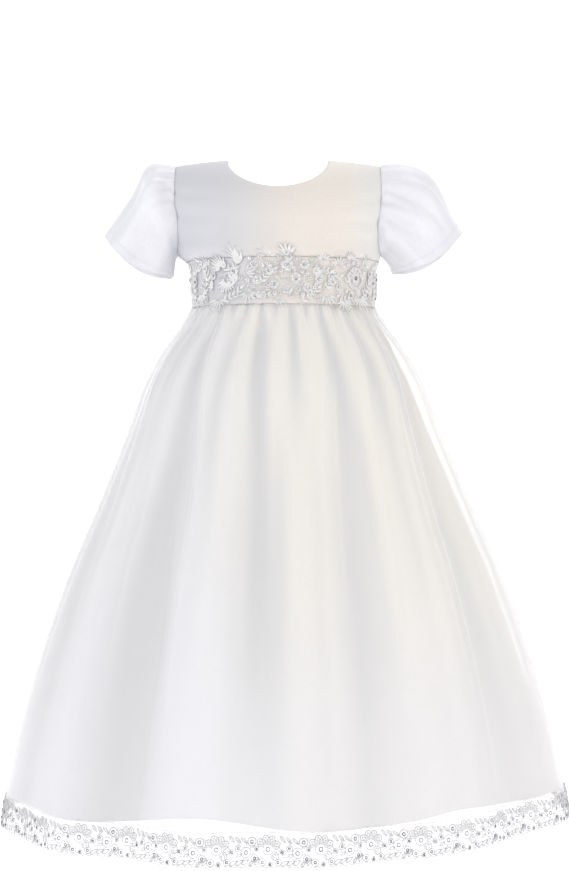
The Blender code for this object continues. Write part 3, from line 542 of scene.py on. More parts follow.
def neck_line(drop):
    """A line a little way in from the neck edge, from the right shoulder down to the middle."""
    share = np.linspace(0.0, 1.0, 60)
    run = run_at(drop) * np.sin(share * math.pi / 2)
    fall = fall_at(run)
    x = NECK_HALF_WIDTH * np.sqrt(np.maximum(1 - (fall / drop) ** 2, 0))
    turn = np.arcsin(x / read(TORSO, "half_width", fall))
    heading = np.arctan2(np.cos(share * math.pi / 2), np.sin(share * math.pi / 2))
    inward = NECK_STITCH_IN * np.sin(heading) / NECK_ROUND
    return turn + inward, run + NECK_STITCH_IN * np.cos(heading) + NECK_STITCH_DOWN


turns, runs = neck_line(FRONT_NECK_DROP)
edge_stitch("front_neck_stitch", torso, np.concatenate([turns, -turns[-2::-1]]),
            np.concatenate([runs, runs[-2::-1]]))
turns, runs = neck_line(BACK_NECK_DROP)
edge_stitch("back_neck_stitch_right", lapped(1), math.pi - turns, runs)
past_lap = turns > lap_turn
edge_stitch("back_neck_stitch_left", lapped(-1), math.pi + turns[past_lap], runs[past_lap])

# The waistband: a plain satin midriff 43 mm deep, in a front and two lapped back halves,
# sewn to the bodice above and over the skirt's gathers below. The lace is sewn on it.
BAND_BOTTOM = float(run_at(WAIST_FALL)) - SEAM
BAND_TOP = float(run_at(BODICE_FALL)) + SEAM
BAND_LAP = LAP / 0.086
CLOSING_IN = 0.0026


def grid_faces(rows, columns, closed=False):
    """Four-sided faces of a grid. They face out where rows run down and columns to the right."""
    wide = columns if closed else columns - 1
    row, column = np.meshgrid(np.arange(rows - 1), np.arange(wide), indexing="ij")
    a = (row * columns + column).ravel()
    b = (row * columns + (column + 1) % columns).ravel()
    return np.stack([a, a + columns, b + columns, b], -1)


def band_creases(turn, run):
    """The band lies smooth but for a faint line across it, small tucks above and the gathers' pull."""
    fall = fall_at(run)
    below = fall - 0.127 - 0.002 * np.cos(turn * 3)
    line = -0.0005 * np.exp(-(below / 0.0022) ** 2) * ease(-0.4, 0.6, np.cos(turn * 1.3 + 0.5))
    pull = 0.0004 * ripple(turn, 38, 1.2) * ease(0.126, 0.1396, fall)
    tuck = 0.0008 * ripple(turn, 9, 2.1) * ease(0.0975, 0.104, fall) * (1 - ease(0.108, 0.122, fall))
    return line + pull + tuck


def lay_band(name, surface, turns):
    runs = np.linspace(BAND_TOP, BAND_BOTTOM, 36)
    turn, run = np.meshgrid(turns, runs)
    points = surface(turn, run) + facing(surface, turn, run) * band_creases(turn, run)[..., None]
    uv = np.stack([turn * 0.08, run], -1).reshape(-1, 2)
    faces = grid_faces(*turn.shape)
    piece = sew(name + "_cloth", points.reshape(-1, 3), faces, bodice_cloth, uv, CLOTH, [name])


band_edge = side_turn(WAIST_SIDE_DEPTH)
lay_band("waistband_front", torso, np.linspace(-band_edge, band_edge, 160))
left_turns = np.linspace(math.pi - BAND_LAP, 2 * math.pi - band_edge, 110)
lay_band("waistband_back_left", lapped(-1), left_turns)
right_turns = np.linspace(band_edge, math.pi + BAND_LAP, 110)
lay_band("waistband_back_right", lapped(1), right_turns)
closing_turns = np.full(60, math.pi + lap_turn - CLOSING_IN / LAP_WIDTH_AT)
closing_runs = np.linspace(back_low + 0.0045, BAND_BOTTOM - 0.004, 60)
edge_stitch("back_closing_stitch", lapped(1), closing_turns, closing_runs)

# The sleeves: short puffs of satin organza, gathered into the cap and set in the armhole. Each
# ends in a flared open cuff, with a row of stitches round it 11 mm above its edge.

# The ends of each open cuff as seen from the front, next to the body and away from it, and how
# high, where and how far along the sleeve its crown swells.
Cuff = namedtuple("Cuff", "name side inner_x inner_z outer_x outer_z crown crown_at crown_long")
CUFFS = [
    Cuff("sleeve_left", -1, -0.0985, -0.1107, -0.1622, -0.0729, 0.0083, 0.30, 0.15),
    Cuff("sleeve_right", 1, 0.1080, -0.1066, 0.1728, -0.0687, 0.0120, 0.46, 0.235),
]
CUFF_DEPTH = 0.034
CUFF_SAG = 0.010
CUFF_STITCH = 0.868
PUFF = 0.074
FLARE = 0.048
SLEEVE_GATHERS = 22

# A fold of a sleeve: the side, its place round the arm at the armhole and at the cuff (0 is
# the top, 90 the front, 180 underneath), half its width, its height, and where it rises and fades
# as shares of the way from the armhole, 0, to the cuff, 1
SleeveFold = namedtuple("SleeveFold", "side head cuff half_width height rise fade")
SLEEVE_FOLDS = [
    SleeveFold(-1, 52, 62, 10, 0.0034, 0.10, 0.95),
    SleeveFold(-1, 26, 34, 9, -0.0026, 0.12, 0.90),
    SleeveFold(-1, 88, 92, 16, -0.0020, 0.25, 1.05),
    SleeveFold(-1, 125, 128, 15, 0.0024, 0.15, 1.05),
    SleeveFold(-1, 232, 226, 13, 0.0030, 0.10, 1.00),
    SleeveFold(-1, 270, 274, 12, -0.0028, 0.10, 0.95),
    SleeveFold(-1, 312, 306, 11, 0.0026, 0.10, 0.90),
    SleeveFold(1, 80, 74, 7, 0.0030, 0.02, 0.75),
    SleeveFold(1, 64, 52, 8, -0.0032, 0.06, 0.85),
    SleeveFold(1, 96, 84, 6, -0.0026, 0.03, 0.75),
    SleeveFold(1, 112, 112, 12, 0.0036, 0.05, 1.05),
    SleeveFold(1, 142, 146, 13, -0.0042, 0.05, 1.05),
    SleeveFold(1, 34, 26, 6, -0.0022, 0.20, 0.75),
    SleeveFold(1, 228, 224, 13, 0.0030, 0.10, 1.00),
    SleeveFold(1, 262, 268, 12, -0.0030, 0.08, 0.95),
    SleeveFold(1, 300, 296, 10, 0.0028, 0.08, 0.85),
]


def armhole_point(side, angle):
    """A point of the armhole. Angle 0 is the shoulder tip, 90 degrees the front, 180 the underarm."""
    angle = np.mod(angle, 2 * math.pi)
    front = angle <= math.pi
    share = np.where(front, angle / math.pi, 2 - angle / math.pi)
    run = armhole_run(share)
    turn = armhole_turn(fall_at(run))
    return torso(np.where(front, side * turn, math.pi - side * turn), run)


def unit(x, y, z):
    vector = np.stack(np.broadcast_arrays(x, y, z), -1)
    return vector / np.linalg.norm(vector, axis=-1, keepdims=True)


def plain_sleeve(cuff, angle, way):
    """The sleeve without folds, from the armhole at 0 to the open cuff at 1."""
    sine, cosine = np.sin(angle), np.cos(angle)
    head = armhole_point(cuff.side, angle)
    puff = unit(0.87 * cuff.side, -0.50 * sine, 0.50 * cosine)
    hang = unit((0.46 + 0.04 * cosine) * cuff.side, -0.20 * sine, -0.85)
    x = (cuff.inner_x + cuff.outer_x) / 2 + (cuff.outer_x - cuff.inner_x) / 2 * cosine
    z = (cuff.inner_z + cuff.outer_z) / 2 + (cuff.outer_z - cuff.inner_z) / 2 * cosine
    x = x + 0.5 * cuff.side * CUFF_SAG * sine ** 2
    z = z - 0.86 * CUFF_SAG * sine ** 2
    hem = np.stack([x, -CUFF_DEPTH * sine, z], -1)
    reach = np.linalg.norm(hem - head, axis=-1, keepdims=True)
    start = puff * np.minimum(PUFF, 0.9 * reach)
    end = hang * np.minimum(FLARE, 0.9 * reach)
    t = way[..., None]
    return (head * (2 * t ** 3 - 3 * t ** 2 + 1) + start * (t ** 3 - 2 * t ** 2 + t)
            + hem * (3 * t ** 2 - 2 * t ** 3) + end * (t ** 3 - t ** 2))


def sleeve_out(cuff, angle, way):
    """How far a sleeve's cloth stands out: its crown, cap gathers, folds, and a flutter at the cuff."""
    cap = ease(-0.65, 0.25, np.cos(angle))
    shift = 1.2 * np.sin(2 * angle + cuff.side)
    gather = np.cos(SLEEVE_GATHERS * angle + shift + 0.6 * np.sin(5 * angle))
    uneven = 0.65 + 0.35 * np.sin(4 * angle + 2 * cuff.side)
    above = ease(-0.2, 0.8, np.cos(angle)) * ease(0.02, 0.24, way)
    out = cuff.crown * above * np.exp(-((way - cuff.crown_at) / cuff.crown_long) ** 2)
    out = out + 0.0013 * cap * uneven * gather * ease(0.0, 0.05, way) * (1 - ease(0.10, 0.55, way))
    for fold in SLEEVE_FOLDS:
        if fold.side == cuff.side:
            centre = fold.head + (fold.cuff - fold.head) * ease(0, 1, way)
            length = ease(fold.rise, fold.rise + 0.18, way)
            length = length * (1 - ease(fold.fade - 0.35, fold.fade, way))
            out = out + fold.height * bump(angle, centre, fold.half_width) * length
    flutter = 0.0010 * np.cos(9 * angle + cuff.side) * ease(0.6, 1.0, way)
    turned = 0.0004 * ease(0.865, 0.880, way)
    return out + flutter + turned


def lay_sleeve(cuff):
    around, rows = 176, 72
    angles = np.linspace(0, 2 * math.pi, around + 1)[:-1]
    angle, way = np.meshgrid(angles, np.linspace(0.004, 1, rows))

    def plain(a, w):
        return plain_sleeve(cuff, a, w)

    def cloth(a, w):
        out = facing(plain, a, w, 0.03, 0.01) * -cuff.side
        return plain(a, w) + out * sleeve_out(cuff, a, w)[..., None]

    points = cloth(angle, way)
    faces = grid_faces(rows, around, closed=True)
    if cuff.side > 0:
        faces = faces[:, ::-1]
    uv = np.stack([angle * 0.036, way * 0.085], -1).reshape(-1, 2)
    points = points.reshape(-1, 3)
    piece = sew(cuff.name + "_cloth", points, faces, sleeve_cloth, uv, CLOTH, [cuff.name])
    ring = np.linspace(0, 2 * math.pi, 160)
    level = np.full(160, CUFF_STITCH)
    out = facing(cloth, ring, level, 0.03, 0.01) * -cuff.side
    stitch_row(cuff.name + "_cuff_stitch", cloth(ring, level), out, 0.0024, 0.10, 0.85, 0.0)


sleeve_cloth, sleeve_tree, sleeve_shader = new_material("sleeve_satin")
sleeve_slub = weave(sleeve_tree, sleeve_shader, 0.0006, 0.18)
sleeve_cloud = fade(sleeve_tree, sleeve_slub, "Fac", 0.35, 0.70, x=-450, y=60)
SLEEVE_LIGHT, SLEEVE_DARK = (0.845, 0.845, 0.885), (0.820, 0.820, 0.860)
sleeve_tint = blend_colours(sleeve_tree, sleeve_cloud, SLEEVE_LIGHT, SLEEVE_DARK, -250, 250)
sleeve_tree.links.new(sleeve_tint.outputs[2], sleeve_shader.inputs["Base Color"])
sleeve_shader.inputs["Roughness"].default_value = 0.40
sleeve_shader.inputs["Sheen Weight"].default_value = 0.3
for cuff in CUFFS:
    lay_sleeve(cuff)

# The skirt: two full widths of organza gathered to the band over two widths of satin lining.
# It hangs open and rounded with no wearer, in long soft folds that reach the hem. A drop is
# how far a place lies below the waist seam.
Skirt = namedtuple("Skirt", "drop half_width depth")
SKIRT = [
    Skirt(0.000, 0.0856, 0.063),
    Skirt(0.004, 0.0874, 0.065),
    Skirt(0.045, 0.1160, 0.083),
    Skirt(0.069, 0.1290, 0.093),
    Skirt(0.115, 0.1470, 0.108),
    Skirt(0.160, 0.1660, 0.122),
    Skirt(0.193, 0.1800, 0.133),
    Skirt(0.238, 0.2000, 0.148),
    Skirt(0.279, 0.2155, 0.161),
    Skirt(0.328, 0.2320, 0.176),
    Skirt(0.389, 0.2490, 0.190),
    Skirt(0.427, 0.2570, 0.197),
    Skirt(0.451, 0.2620, 0.201),
    Skirt(0.475, 0.2650, 0.203),
]
FRONT_LONGER = 0.013
HEM_TILT = 0.006
OVERLAY_DROP = 0.455
LINING_DROP = 0.444
HEM_DROP = 0.4705
FOLD_EASE = 0.080

# A fold: where it starts and ends round the gown, half its width, and how far it stands out
# at the waist, half way down and at the hem. A valley stands out by less than nothing.
Fold = namedtuple("Fold", "waist hem half_width at_waist at_middle at_hem")
FOLDS = [
    Fold(-74, -64, 9, -0.0010, -0.0040, -0.0050),
    Fold(-62, -47, 8, 0.0010, 0.0040, 0.0045),
    Fold(-50, -31, 9, -0.0025, -0.0085, -0.0110),
    Fold(-29, -17, 10, 0.0020, 0.0050, 0.0050),
    Fold(-15, -5, 7, -0.0035, -0.0080, -0.0050),
    Fold(3, 3, 7, 0.0015, 0.0035, 0.0045),
    Fold(22, 11, 6, 0.0025, 0.0030, 0.0020),
    Fold(32, 18, 8, -0.0030, -0.0060, -0.0040),
    Fold(44, 29, 8, 0.0015, 0.0030, 0.0040),
    Fold(56, 41, 5, 0.0030, 0.0050, 0.0020),
    Fold(66, 52, 9, -0.0020, -0.0060, -0.0070),
    Fold(80, 70, 9, 0.0010, 0.0035, 0.0050),
    Fold(100, 92, 10, -0.0015, -0.0050, -0.0060),
    Fold(116, 112, 9, 0.0015, 0.0050, 0.0050),
    Fold(131, 130, 8, -0.0030, -0.0080, -0.0090),
    Fold(147, 148, 9, 0.0020, 0.0045, 0.0055),
    Fold(162, 166, 8, -0.0025, -0.0070, -0.0065),
    Fold(178, 183, 10, 0.0020, 0.0050, 0.0050),
    Fold(196, 202, 8, -0.0030, -0.0080, -0.0100),
    Fold(213, 220, 9, 0.0015, 0.0045, 0.0055),
    Fold(229, 236, 9, -0.0025, -0.0070, -0.0080),
    Fold(246, 252, 9, 0.0015, 0.0040, 0.0050),
    Fold(262, 270, 9, -0.0010, -0.0045, -0.0050),
]

# A fold of the lining alone, low down: how far it falls in, and how far its hem rises
LiningFold = namedtuple("LiningFold", "turn half_width depth lift")
LINING_FOLDS = [
    LiningFold(-17, 13, 0.020, 0.007),
    LiningFold(37, 11, 0.012, 0.003),
    LiningFold(128, 12, 0.014, 0.004),
    LiningFold(205, 12, 0.016, 0.005),
]

# A narrower crease of the organza: its place round the gown at the top and the bottom,
# the drops where it starts and ends, half its width in degrees and its height
Crease = namedtuple("Crease", "top bottom start end half_width height")
CREASES = [
    Crease(-70, -60, 0.02, 0.30, 2.6, 0.0014), Crease(-55, -41, 0.01, 0.42, 1.8, 0.0018),
    Crease(-44, -36, 0.05, 0.46, 2.4, -0.0016), Crease(-38, -25, 0.00, 0.46, 1.3, 0.0022),
    Crease(-30, -21, 0.06, 0.30, 2.0, -0.0014), Crease(-24, -14, 0.00, 0.22, 1.6, 0.0016),
    Crease(-19, -9, 0.03, 0.46, 1.5, 0.0018), Crease(-8, -1, 0.01, 0.34, 1.4, 0.0014),
    Crease(-1, 0, 0.08, 0.40, 2.2, -0.0012), Crease(9, 6, 0.00, 0.24, 1.5, 0.0015),
    Crease(14, 8, 0.05, 0.46, 1.7, -0.0014), Crease(27, 14, 0.00, 0.36, 1.3, 0.0018),
    Crease(37, 24, 0.02, 0.26, 1.8, -0.0015), Crease(41, 26, 0.00, 0.46, 1.5, 0.0016),
    Crease(49, 36, 0.03, 0.33, 1.7, -0.0014), Crease(60, 46, 0.00, 0.46, 1.3, 0.0019),
    Crease(71, 58, 0.04, 0.40, 2.2, 0.0015), Crease(84, 76, 0.01, 0.30, 2.6, -0.0014),
    Crease(97, 88, 0.03, 0.42, 2.4, 0.0015), Crease(110, 105, 0.00, 0.28, 2.0, 0.0016),
    Crease(124, 121, 0.02, 0.46, 1.6, 0.0018), Crease(139, 139, 0.00, 0.33, 1.8, -0.0015),
    Crease(151, 153, 0.05, 0.42, 1.5, 0.0016), Crease(158, 161, 0.00, 0.24, 1.8, -0.0014),
    Crease(170, 174, 0.02, 0.46, 1.5, 0.0018), Crease(186, 191, 0.00, 0.30, 2.0, -0.0014),
    Crease(203, 210, 0.03, 0.46, 1.6, 0.0017), Crease(219, 226, 0.00, 0.26, 1.7, 0.0015),
    Crease(237, 244, 0.02, 0.40, 2.0, -0.0015), Crease(255, 262, 0.00, 0.46, 1.8, 0.0016),
    Crease(266, 274, 0.04, 0.32, 2.4, 0.0014), Crease(280, 286, 0.00, 0.40, 2.2, -0.0015),
]


def folds(turn, drop):
    """How far the large folds stand out of the skirt."""
    out = np.zeros(np.broadcast(turn, drop).shape)
    for fold in FOLDS:
        centre = fold.hem + (fold.waist - fold.hem) * np.exp(-drop / FOLD_EASE)
        upper = fold.at_waist + (fold.at_middle - fold.at_waist) * ease(0.030, 0.220, drop)
        height = upper + (fold.at_hem - fold.at_middle) * ease(0.220, HEM_DROP, drop)
        out = out + height * bump(turn, centre, fold.half_width)
    return out * ease(0, 0.030, drop)


def gather_depth(drop):
    drop = np.maximum(drop, 0.0)
    fine = 0.0018 * (0.55 + 0.45 * ease(0, 0.012, drop)) * np.exp(-(drop / 0.036) ** 1.5)
    broad = 0.0015 * ease(0, 0.020, drop) * np.exp(-(drop / 0.110) ** 2)
    return fine, broad


def gathers(turn, drop):
    """The gathers below the band: a broad set, a finer one between, and the pinch of the seam."""
    fine, broad = gather_depth(drop)
    uneven = 1 - 0.30 * np.sin(7 * turn + 2) ** 2
    lean = 0.10 * np.sin(4 * turn + 1) * drop / 0.1
    pinch = np.cos(113 * turn + 2.2 * np.sin(6 * turn))
    seam = 0.0005 * np.exp(-(np.maximum(drop, 0) / 0.016) ** 1.3) * pinch
    return (fine * uneven * np.cos(38 * turn + 0.8 * np.sin(3 * turn) + lean)
            + broad * np.cos(21 * turn + 1.3 * np.sin(2 * turn + 1)) + seam)


def creases(turn, drop):
    out = np.zeros(np.broadcast(turn, drop).shape)
    for row in CREASES:
        share = np.clip((drop - row.start) / (row.end - row.start), 0, 1)
        centre = row.top + (row.bottom - row.top) * (1 - np.exp(-drop / 0.12))
        width = row.half_width * (1.35 - 0.5 * ease(0, 0.4, drop))
        rise = np.where(row.start > 0, ease(0, 0.30, share), 1.0)
        out = out + row.height * bump(turn, centre, width) * rise * (1 - ease(0.45, 1.0, share))
    return out * ease(0.0, 0.015, drop)


def overlap(turn, drop):
    """The part under and the part over, where the organza's deep left fold laps low on the skirt."""
    past = -33.0 + 4.5 * ease(0.16, 0.30, drop) - np.degrees(turn)
    low = ease(0.16, 0.27, drop)
    under = ease(0, 0.9, past) * np.exp(-np.maximum(past, 0) / 9) * low
    return under, ease(0, 0.9, -past) * np.exp(-np.maximum(-past, 0) / 9) * low


def hollow(turn, drop):
    """How deep a place lies, as the mask of a painted shade: 0 on a crest, painted as lit, and 1 deep in
    a fold where the cloth bunches, painted as shaded.
    """
    fine, broad = gather_depth(drop)
    gathered = gathers(turn, drop) / (fine + broad) * np.exp(-(drop / 0.085) ** 1.6)
    under, over = overlap(turn, drop)
    # The painted shade sits a little towards the window light at the left. It is weaker at the right,
    # where the lamp is painted as reaching into the folds. It is painted darker under the lap and evened
    # out over it, and it wavers in soft streaks.
    towards_window = math.radians(6) * bump(turn, -38, 22) * ease(0.08, 0.20, drop)
    fold = folds(turn + towards_window, drop) / 0.0140 * (1 - 0.55 * ease(0.26, 0.42, drop))
    fold = fold * (1 - 0.8 * over) * (1 - 0.65 * bump(turn, 62, 26))
    streak = 0.05 * ripple(turn, 38, 0.4) + 0.04 * ripple(turn, 17, 2.3)
    deep = 0.34 - fold - 0.95 * gathered - creases(turn, drop) / 0.010 + streak + 0.22 * under
    return np.clip(deep, 0, 1)


def skirt(turn, drop, out):
    """A point of the skirt, moved out from its plain section."""
    width = read(SKIRT, "half_width", drop)
    depth = read(SKIRT, "depth", drop)
    outward = np.stack([np.sin(turn) / width, -np.cos(turn) / depth, np.zeros_like(width * turn)], -1)
    outward /= np.linalg.norm(outward, axis=-1, keepdims=True)
    low = drop * (1 + FRONT_LONGER * np.cos(turn) ** 2) - HEM_TILT * np.sin(turn) * drop / HEM_DROP
    plain = np.stack([width * np.sin(turn) + SWAY, -depth * np.cos(turn), -WAIST_FALL - low], -1)
    return plain + outward * np.asarray(out)[..., None]


def overlay(turn, drop):
    out = folds(turn, drop) + gathers(turn, drop) + creases(turn, drop) - 0.0016 * overlap(turn, drop)[0]
    return skirt(turn, drop, out)


def overlay_crests(turn, drop):
    """The crests of the gathers, which the waist lace lies on."""
    return skirt(turn, drop, folds(turn, drop) + sum(gather_depth(drop)))


def lining(turn, drop):
    """The lining follows the overlay's folds inside it, with air at the right and folds of its own."""
    fold = folds(turn, drop)
    air = 0.0100 * bump(turn, 90, 30) * ease(0.010, 0.060, drop) * (1 - ease(0.330, 0.400, drop))
    within = 0.0035 * (0.55 + 0.45 * ease(0.002, 0.020, drop)) + air + sum(gather_depth(drop))
    own = ease(0.230, LINING_DROP, drop)
    deep = sum(row.depth * own * bump(turn, row.turn, row.half_width) for row in LINING_FOLDS)
    lift = sum(row.lift * own * bump(turn, row.turn, row.half_width) for row in LINING_FOLDS)
    ruck = 0.0010 * ripple(turn, 26, 1.9) * ease(0.0, 0.03, drop) * (1 - ease(0.12, 0.40, drop))
    point = skirt(turn, drop, 0.85 * fold - 0.15 * np.abs(fold) - within - deep + ruck)
    point[..., 2] += lift
    return point


def rows_down(last, count):
    """Drops that stand closer together near the gathers."""
    share = np.linspace(0, 1, count)
    return SEAM + (last - SEAM) * (0.45 * share + 0.55 * share ** 2)


def show_through(tree, shader, cover, edge_cover):
    """Sheer cloth: it covers only part of what is behind it, and more where it is seen on edge."""
    edge = node(tree, "ShaderNodeLayerWeight", -300, -700)
    edge.inputs["Blend"].default_value = 0.35
    span = fade(tree, edge, "Facing", 0.25, 1.0, cover, edge_cover, x=-120, y=-700)
    tree.links.new(span.outputs[0], shader.inputs["Alpha"])


def shade_by_depth(tree, shader, crest, deep):
    """Painted shade: cloth that turns greyer where it lies deep in a fold, by the hollow measure of each
    point.
    """
    depth = node(tree, "ShaderNodeAttribute", -450, 520, attribute_name="hollow")
    depth.attribute_type = "GEOMETRY"
    share = fade(tree, depth, "Fac", 0.05, 0.95, x=-280, y=520)
    tint = blend_colours(tree, share, crest, deep, -150, 250)
    tree.links.new(tint.outputs[2], shader.inputs["Base Color"])


organza, organza_tree, organza_shader = new_material("organza")
organza_slub = weave(organza_tree, organza_shader, 0.0008, 0.12)
organza_cloud = fade(organza_tree, organza_slub, "Fac", 0.3, 0.7, x=-450, y=60)
ORGANZA_LIGHT, ORGANZA_DARK = (0.945, 0.935, 0.925), (0.93, 0.92, 0.915)
organza_tint = blend_colours(organza_tree, organza_cloud, ORGANZA_LIGHT, ORGANZA_DARK, -450, 250)
# Painted fold shade: the organza turns this grey deep in its folds.
shade_by_depth(organza_tree, organza_shader, organza_tint, (0.845, 0.842, 0.848))
organza_shader.inputs["Roughness"].default_value = 0.42
organza_shader.inputs["Sheen Weight"].default_value = 0.25
show_through(organza_tree, organza_shader, 0.40, 0.85)

lining_cloth, lining_tree, lining_shader = new_material("lining_satin")
weave(lining_tree, lining_shader, 0.0007, 0.12)
lining_place = node(lining_tree, "ShaderNodeTexCoord", -1300, 300)
lining_axes = node(lining_tree, "ShaderNodeSeparateXYZ", -1100, 300)
lining_tree.links.new(lining_place.outputs["Object"], lining_axes.inputs[0])
# Painted light on the lining's ivory: painted cool light at the top left, painted warm light at the top
# right, and painted lavender-blue light low at the left.
lining_low = fade(lining_tree, lining_axes, "Z", -0.30, -0.56, x=-900, y=420)
lining_right = fade(lining_tree, lining_axes, "X", -0.09, 0.01, x=-900, y=180)
TOP_LEFT_COOL_LIT, TOP_RIGHT_WARM_LIT = (0.905, 0.90, 0.92), (0.955, 0.920, 0.835)
HEM_LEFT_BLUE_LIT, HEM_RIGHT_LIT = (0.925, 0.925, 0.985), (0.935, 0.92, 0.93)
lining_top_lit = blend_colours(lining_tree, lining_right, TOP_LEFT_COOL_LIT, TOP_RIGHT_WARM_LIT, -700, 300)
lining_hem_lit = blend_colours(lining_tree, lining_right, HEM_LEFT_BLUE_LIT, HEM_RIGHT_LIT, -700, 60)
lining_lit_tint = blend_colours(lining_tree, lining_low, lining_top_lit, lining_hem_lit, -450, 250)
# Painted fold shade: the lining turns this grey deep in its folds.
shade_by_depth(lining_tree, lining_shader, lining_lit_tint, (0.765, 0.762, 0.770))
lining_shader.inputs["Roughness"].default_value = 0.55
lining_shader.inputs["Sheen Weight"].default_value = 0.2


def lay_skirt(name, middle, surface, drops, columns, material):
    """Half of the skirt's overlay or lining, about its middle, from one side seam to the other."""
    share = np.linspace(-1, 1, columns + 1)[None, :]
    drop = drops[:, None] + 0 * share
    turn = middle + side_turn(read(SKIRT, "depth", drops)[:, None]) * share
    uv = np.stack([turn * read(SKIRT, "half_width", drop), drop], -1).reshape(-1, 2)
    points, faces = surface(turn, drop).reshape(-1, 3), grid_faces(*turn.shape)
    piece = sew(name + "_cloth", points, faces, material, uv, None, [name])
    # Each point keeps its hollow measure, the mask of the painted fold shade.
    depth = piece.data.attributes.new("hollow", "FLOAT", "POINT")
    depth.data.foreach_set("value", hollow(turn, drop).astype(np.float32).ravel())


for half_name, half_middle in (("front", 0.0), ("back", math.pi)):
    lay_skirt("skirt_lining_" + half_name, half_middle, lining, rows_down(LINING_DROP, 90), 220,
              lining_cloth)
    lay_skirt("skirt_overlay_" + half_name, half_middle, overlay, rows_down(OVERLAY_DROP, 125), 340,
              organza)

# The hem lace: a galloon of raised thread on fine net, 27 mm deep, sewn over the overlay's hem.
# Shells, ring flowers with a beaded eye, slanted leaves and scrolls come round every 44 mm, and
# small scallops edge it above and below.
REPEATS = 34
LACE_HEIGHT = 0.0275
LACE_LIFT = 0.0009
LACE_STEP = 0.0015
SCALLOP = 0.0013
MILLI = 0.001


class Drawing:
    """Raised stitching of one kind, drawn on the flat in millimetres along and down."""
    def __init__(self):
        self.points = []
        self.faces = []
        self.count = 0

    def add(self, places, heights, faces):
        self.points.append(np.column_stack([places, heights]))
        self.faces.append(np.asarray(faces, int) + self.count)
        self.count += len(places)

    def shapes(self):
        faces = [tuple(face) for part in self.faces for face in part.tolist()]
        return np.vstack(self.points) * MILLI, faces


class Lace:
    """The satin stitches, the cords round them, the beads and the sequin discs of one lace."""
    def __init__(self):
        self.satin = Drawing()
        self.cords = Drawing()
        self.beads = Drawing()
        self.discs = Drawing()

    def kinds(self, satin_thread, cord_thread):
        return [("satin", self.satin, satin_thread), ("cords", self.cords, cord_thread),
                ("beads", self.beads, bead_glass), ("discs", self.discs, sequin_silver)]


def cord(lace, path, radius, height=0.5, into=None):
    """A round corded thread along a path, thinner at both ends."""
    into = into or lace.cords
    path = np.asarray(path, float)
    ahead = np.gradient(path, axis=0)
    ahead /= np.linalg.norm(ahead, axis=1, keepdims=True) + 1e-9
    wide = np.stack([-ahead[:, 1], ahead[:, 0]], -1)
    sides = 4
    angle = 2 * math.pi * np.arange(sides) / sides
    size = np.full(len(path), radius)
    size[[0, -1]] *= 0.4
    places = path[:, None] + wide[:, None] * (np.cos(angle)[None, :] * size[:, None])[..., None]
    heights = height + np.sin(angle)[None, :] * size[:, None]
    into.add(places.reshape(-1, 2), heights.ravel(), grid_faces(len(path), sides, closed=True))


def heading_of(degrees):
    return np.array([math.cos(math.radians(degrees)), math.sin(math.radians(degrees))])


def arc(centre, radius, start, end, steps=14, squash=1.0):
    angle = np.radians(np.linspace(start, end, steps))
    return np.array(centre) + radius * np.stack([np.cos(angle), squash * np.sin(angle)], -1)


def leaf(lace, base, heading, length, width, lift=0.7, bend=0.0, rows=7, rim=0.24, filled=True):
    """A leaf with a cord round it: slanted ribs of satin stitch along a vein, or the vein alone."""
    share = np.linspace(0, 1, rows)
    turned = np.radians(heading + bend * share)
    ahead = np.stack([np.cos(turned), np.sin(turned)], -1)
    wide = np.stack([-np.sin(turned), np.cos(turned)], -1)
    step = length / (rows - 1) * ahead
    spine = np.array(base) + np.cumsum(step, 0) - step[0]
    half = width / 2 * np.sin(math.pi * np.clip(share, 0.04, 0.96) ** 0.8)
    across = np.array([-1, -0.55, 0, 0.55, 1])
    crown = np.array([0.15, 1.0, 0.5, 1.0, 0.15])
    rib = 1 + 0.25 * np.where(np.arange(rows) % 2, 1, -1)
    places = spine[:, None] + wide[:, None] * (half[:, None] * across)[..., None]
    slant = 0.2 * half[:, None] * (1 - np.abs(across))[None, :]
    places = places - ahead[:, None] * slant[..., None]
    heights = lift * crown[None, :] * (rib * np.sin(math.pi * np.clip(share, 0.1, 0.9)) ** 0.5)[:, None]
    if filled:
        lace.satin.add(places.reshape(-1, 2), heights.ravel(), grid_faces(rows, len(across)))
    else:
        cord(lace, spine[:-2], 0.20, 0.35)
    if rim:
        edge = np.vstack([places[:, 0], places[::-1, -1], places[:1, 0]])
        cord(lace, edge, rim, 0.35)


def spray(lace, base, heading, length, leaves, size, bend):
    """A curved stem with pairs of leaflets and one at its tip."""
    steps, open_by, slim = 12, 52, 0.29
    share = np.linspace(0, 1, steps)
    turned = np.radians(heading + bend * share)
    step = length / (steps - 1) * np.stack([np.cos(turned), np.sin(turned)], -1)
    stem = np.array(base) + np.cumsum(step, 0) - step[0]
    cord(lace, stem, 0.30)
    for k in range(leaves):
        at = (k + 0.7) / (leaves + 0.4) * (steps - 1)
        place = np.array([np.interp(at, np.arange(steps), stem[:, axis]) for axis in (0, 1)])
        now = heading + bend * at / (steps - 1)
        small = size * (1.0 - 0.30 * k / leaves)
        for side in (-1, 1):
            leaf(lace, place, now + side * open_by, small, small * slim, bend=-side * 22)
    leaf(lace, stem[-1], heading + bend, size * 0.8, size * 0.34)


def bead(lace, centre, radius, height):
    """A small round bead: three rings and a top."""
    sides = 7
    rings = np.radians([-50, 0, 50])
    angle = 2 * math.pi * np.arange(sides) / sides
    flat = np.cos(rings)[:, None, None] * radius * np.stack([np.cos(angle), np.sin(angle)], -1)[None]
    heights = height + (np.sin(rings) * radius)[:, None] + 0 * angle[None]
    lace.beads.add(flat.reshape(-1, 2) + centre, heights.ravel(), grid_faces(3, sides, closed=True))
    top = np.vstack([flat[2] + centre, [centre]])
    cap = [(k, (k + 1) % sides, sides) for k in range(sides)]
    lace.beads.add(top, np.append(heights[2], height + radius), cap)


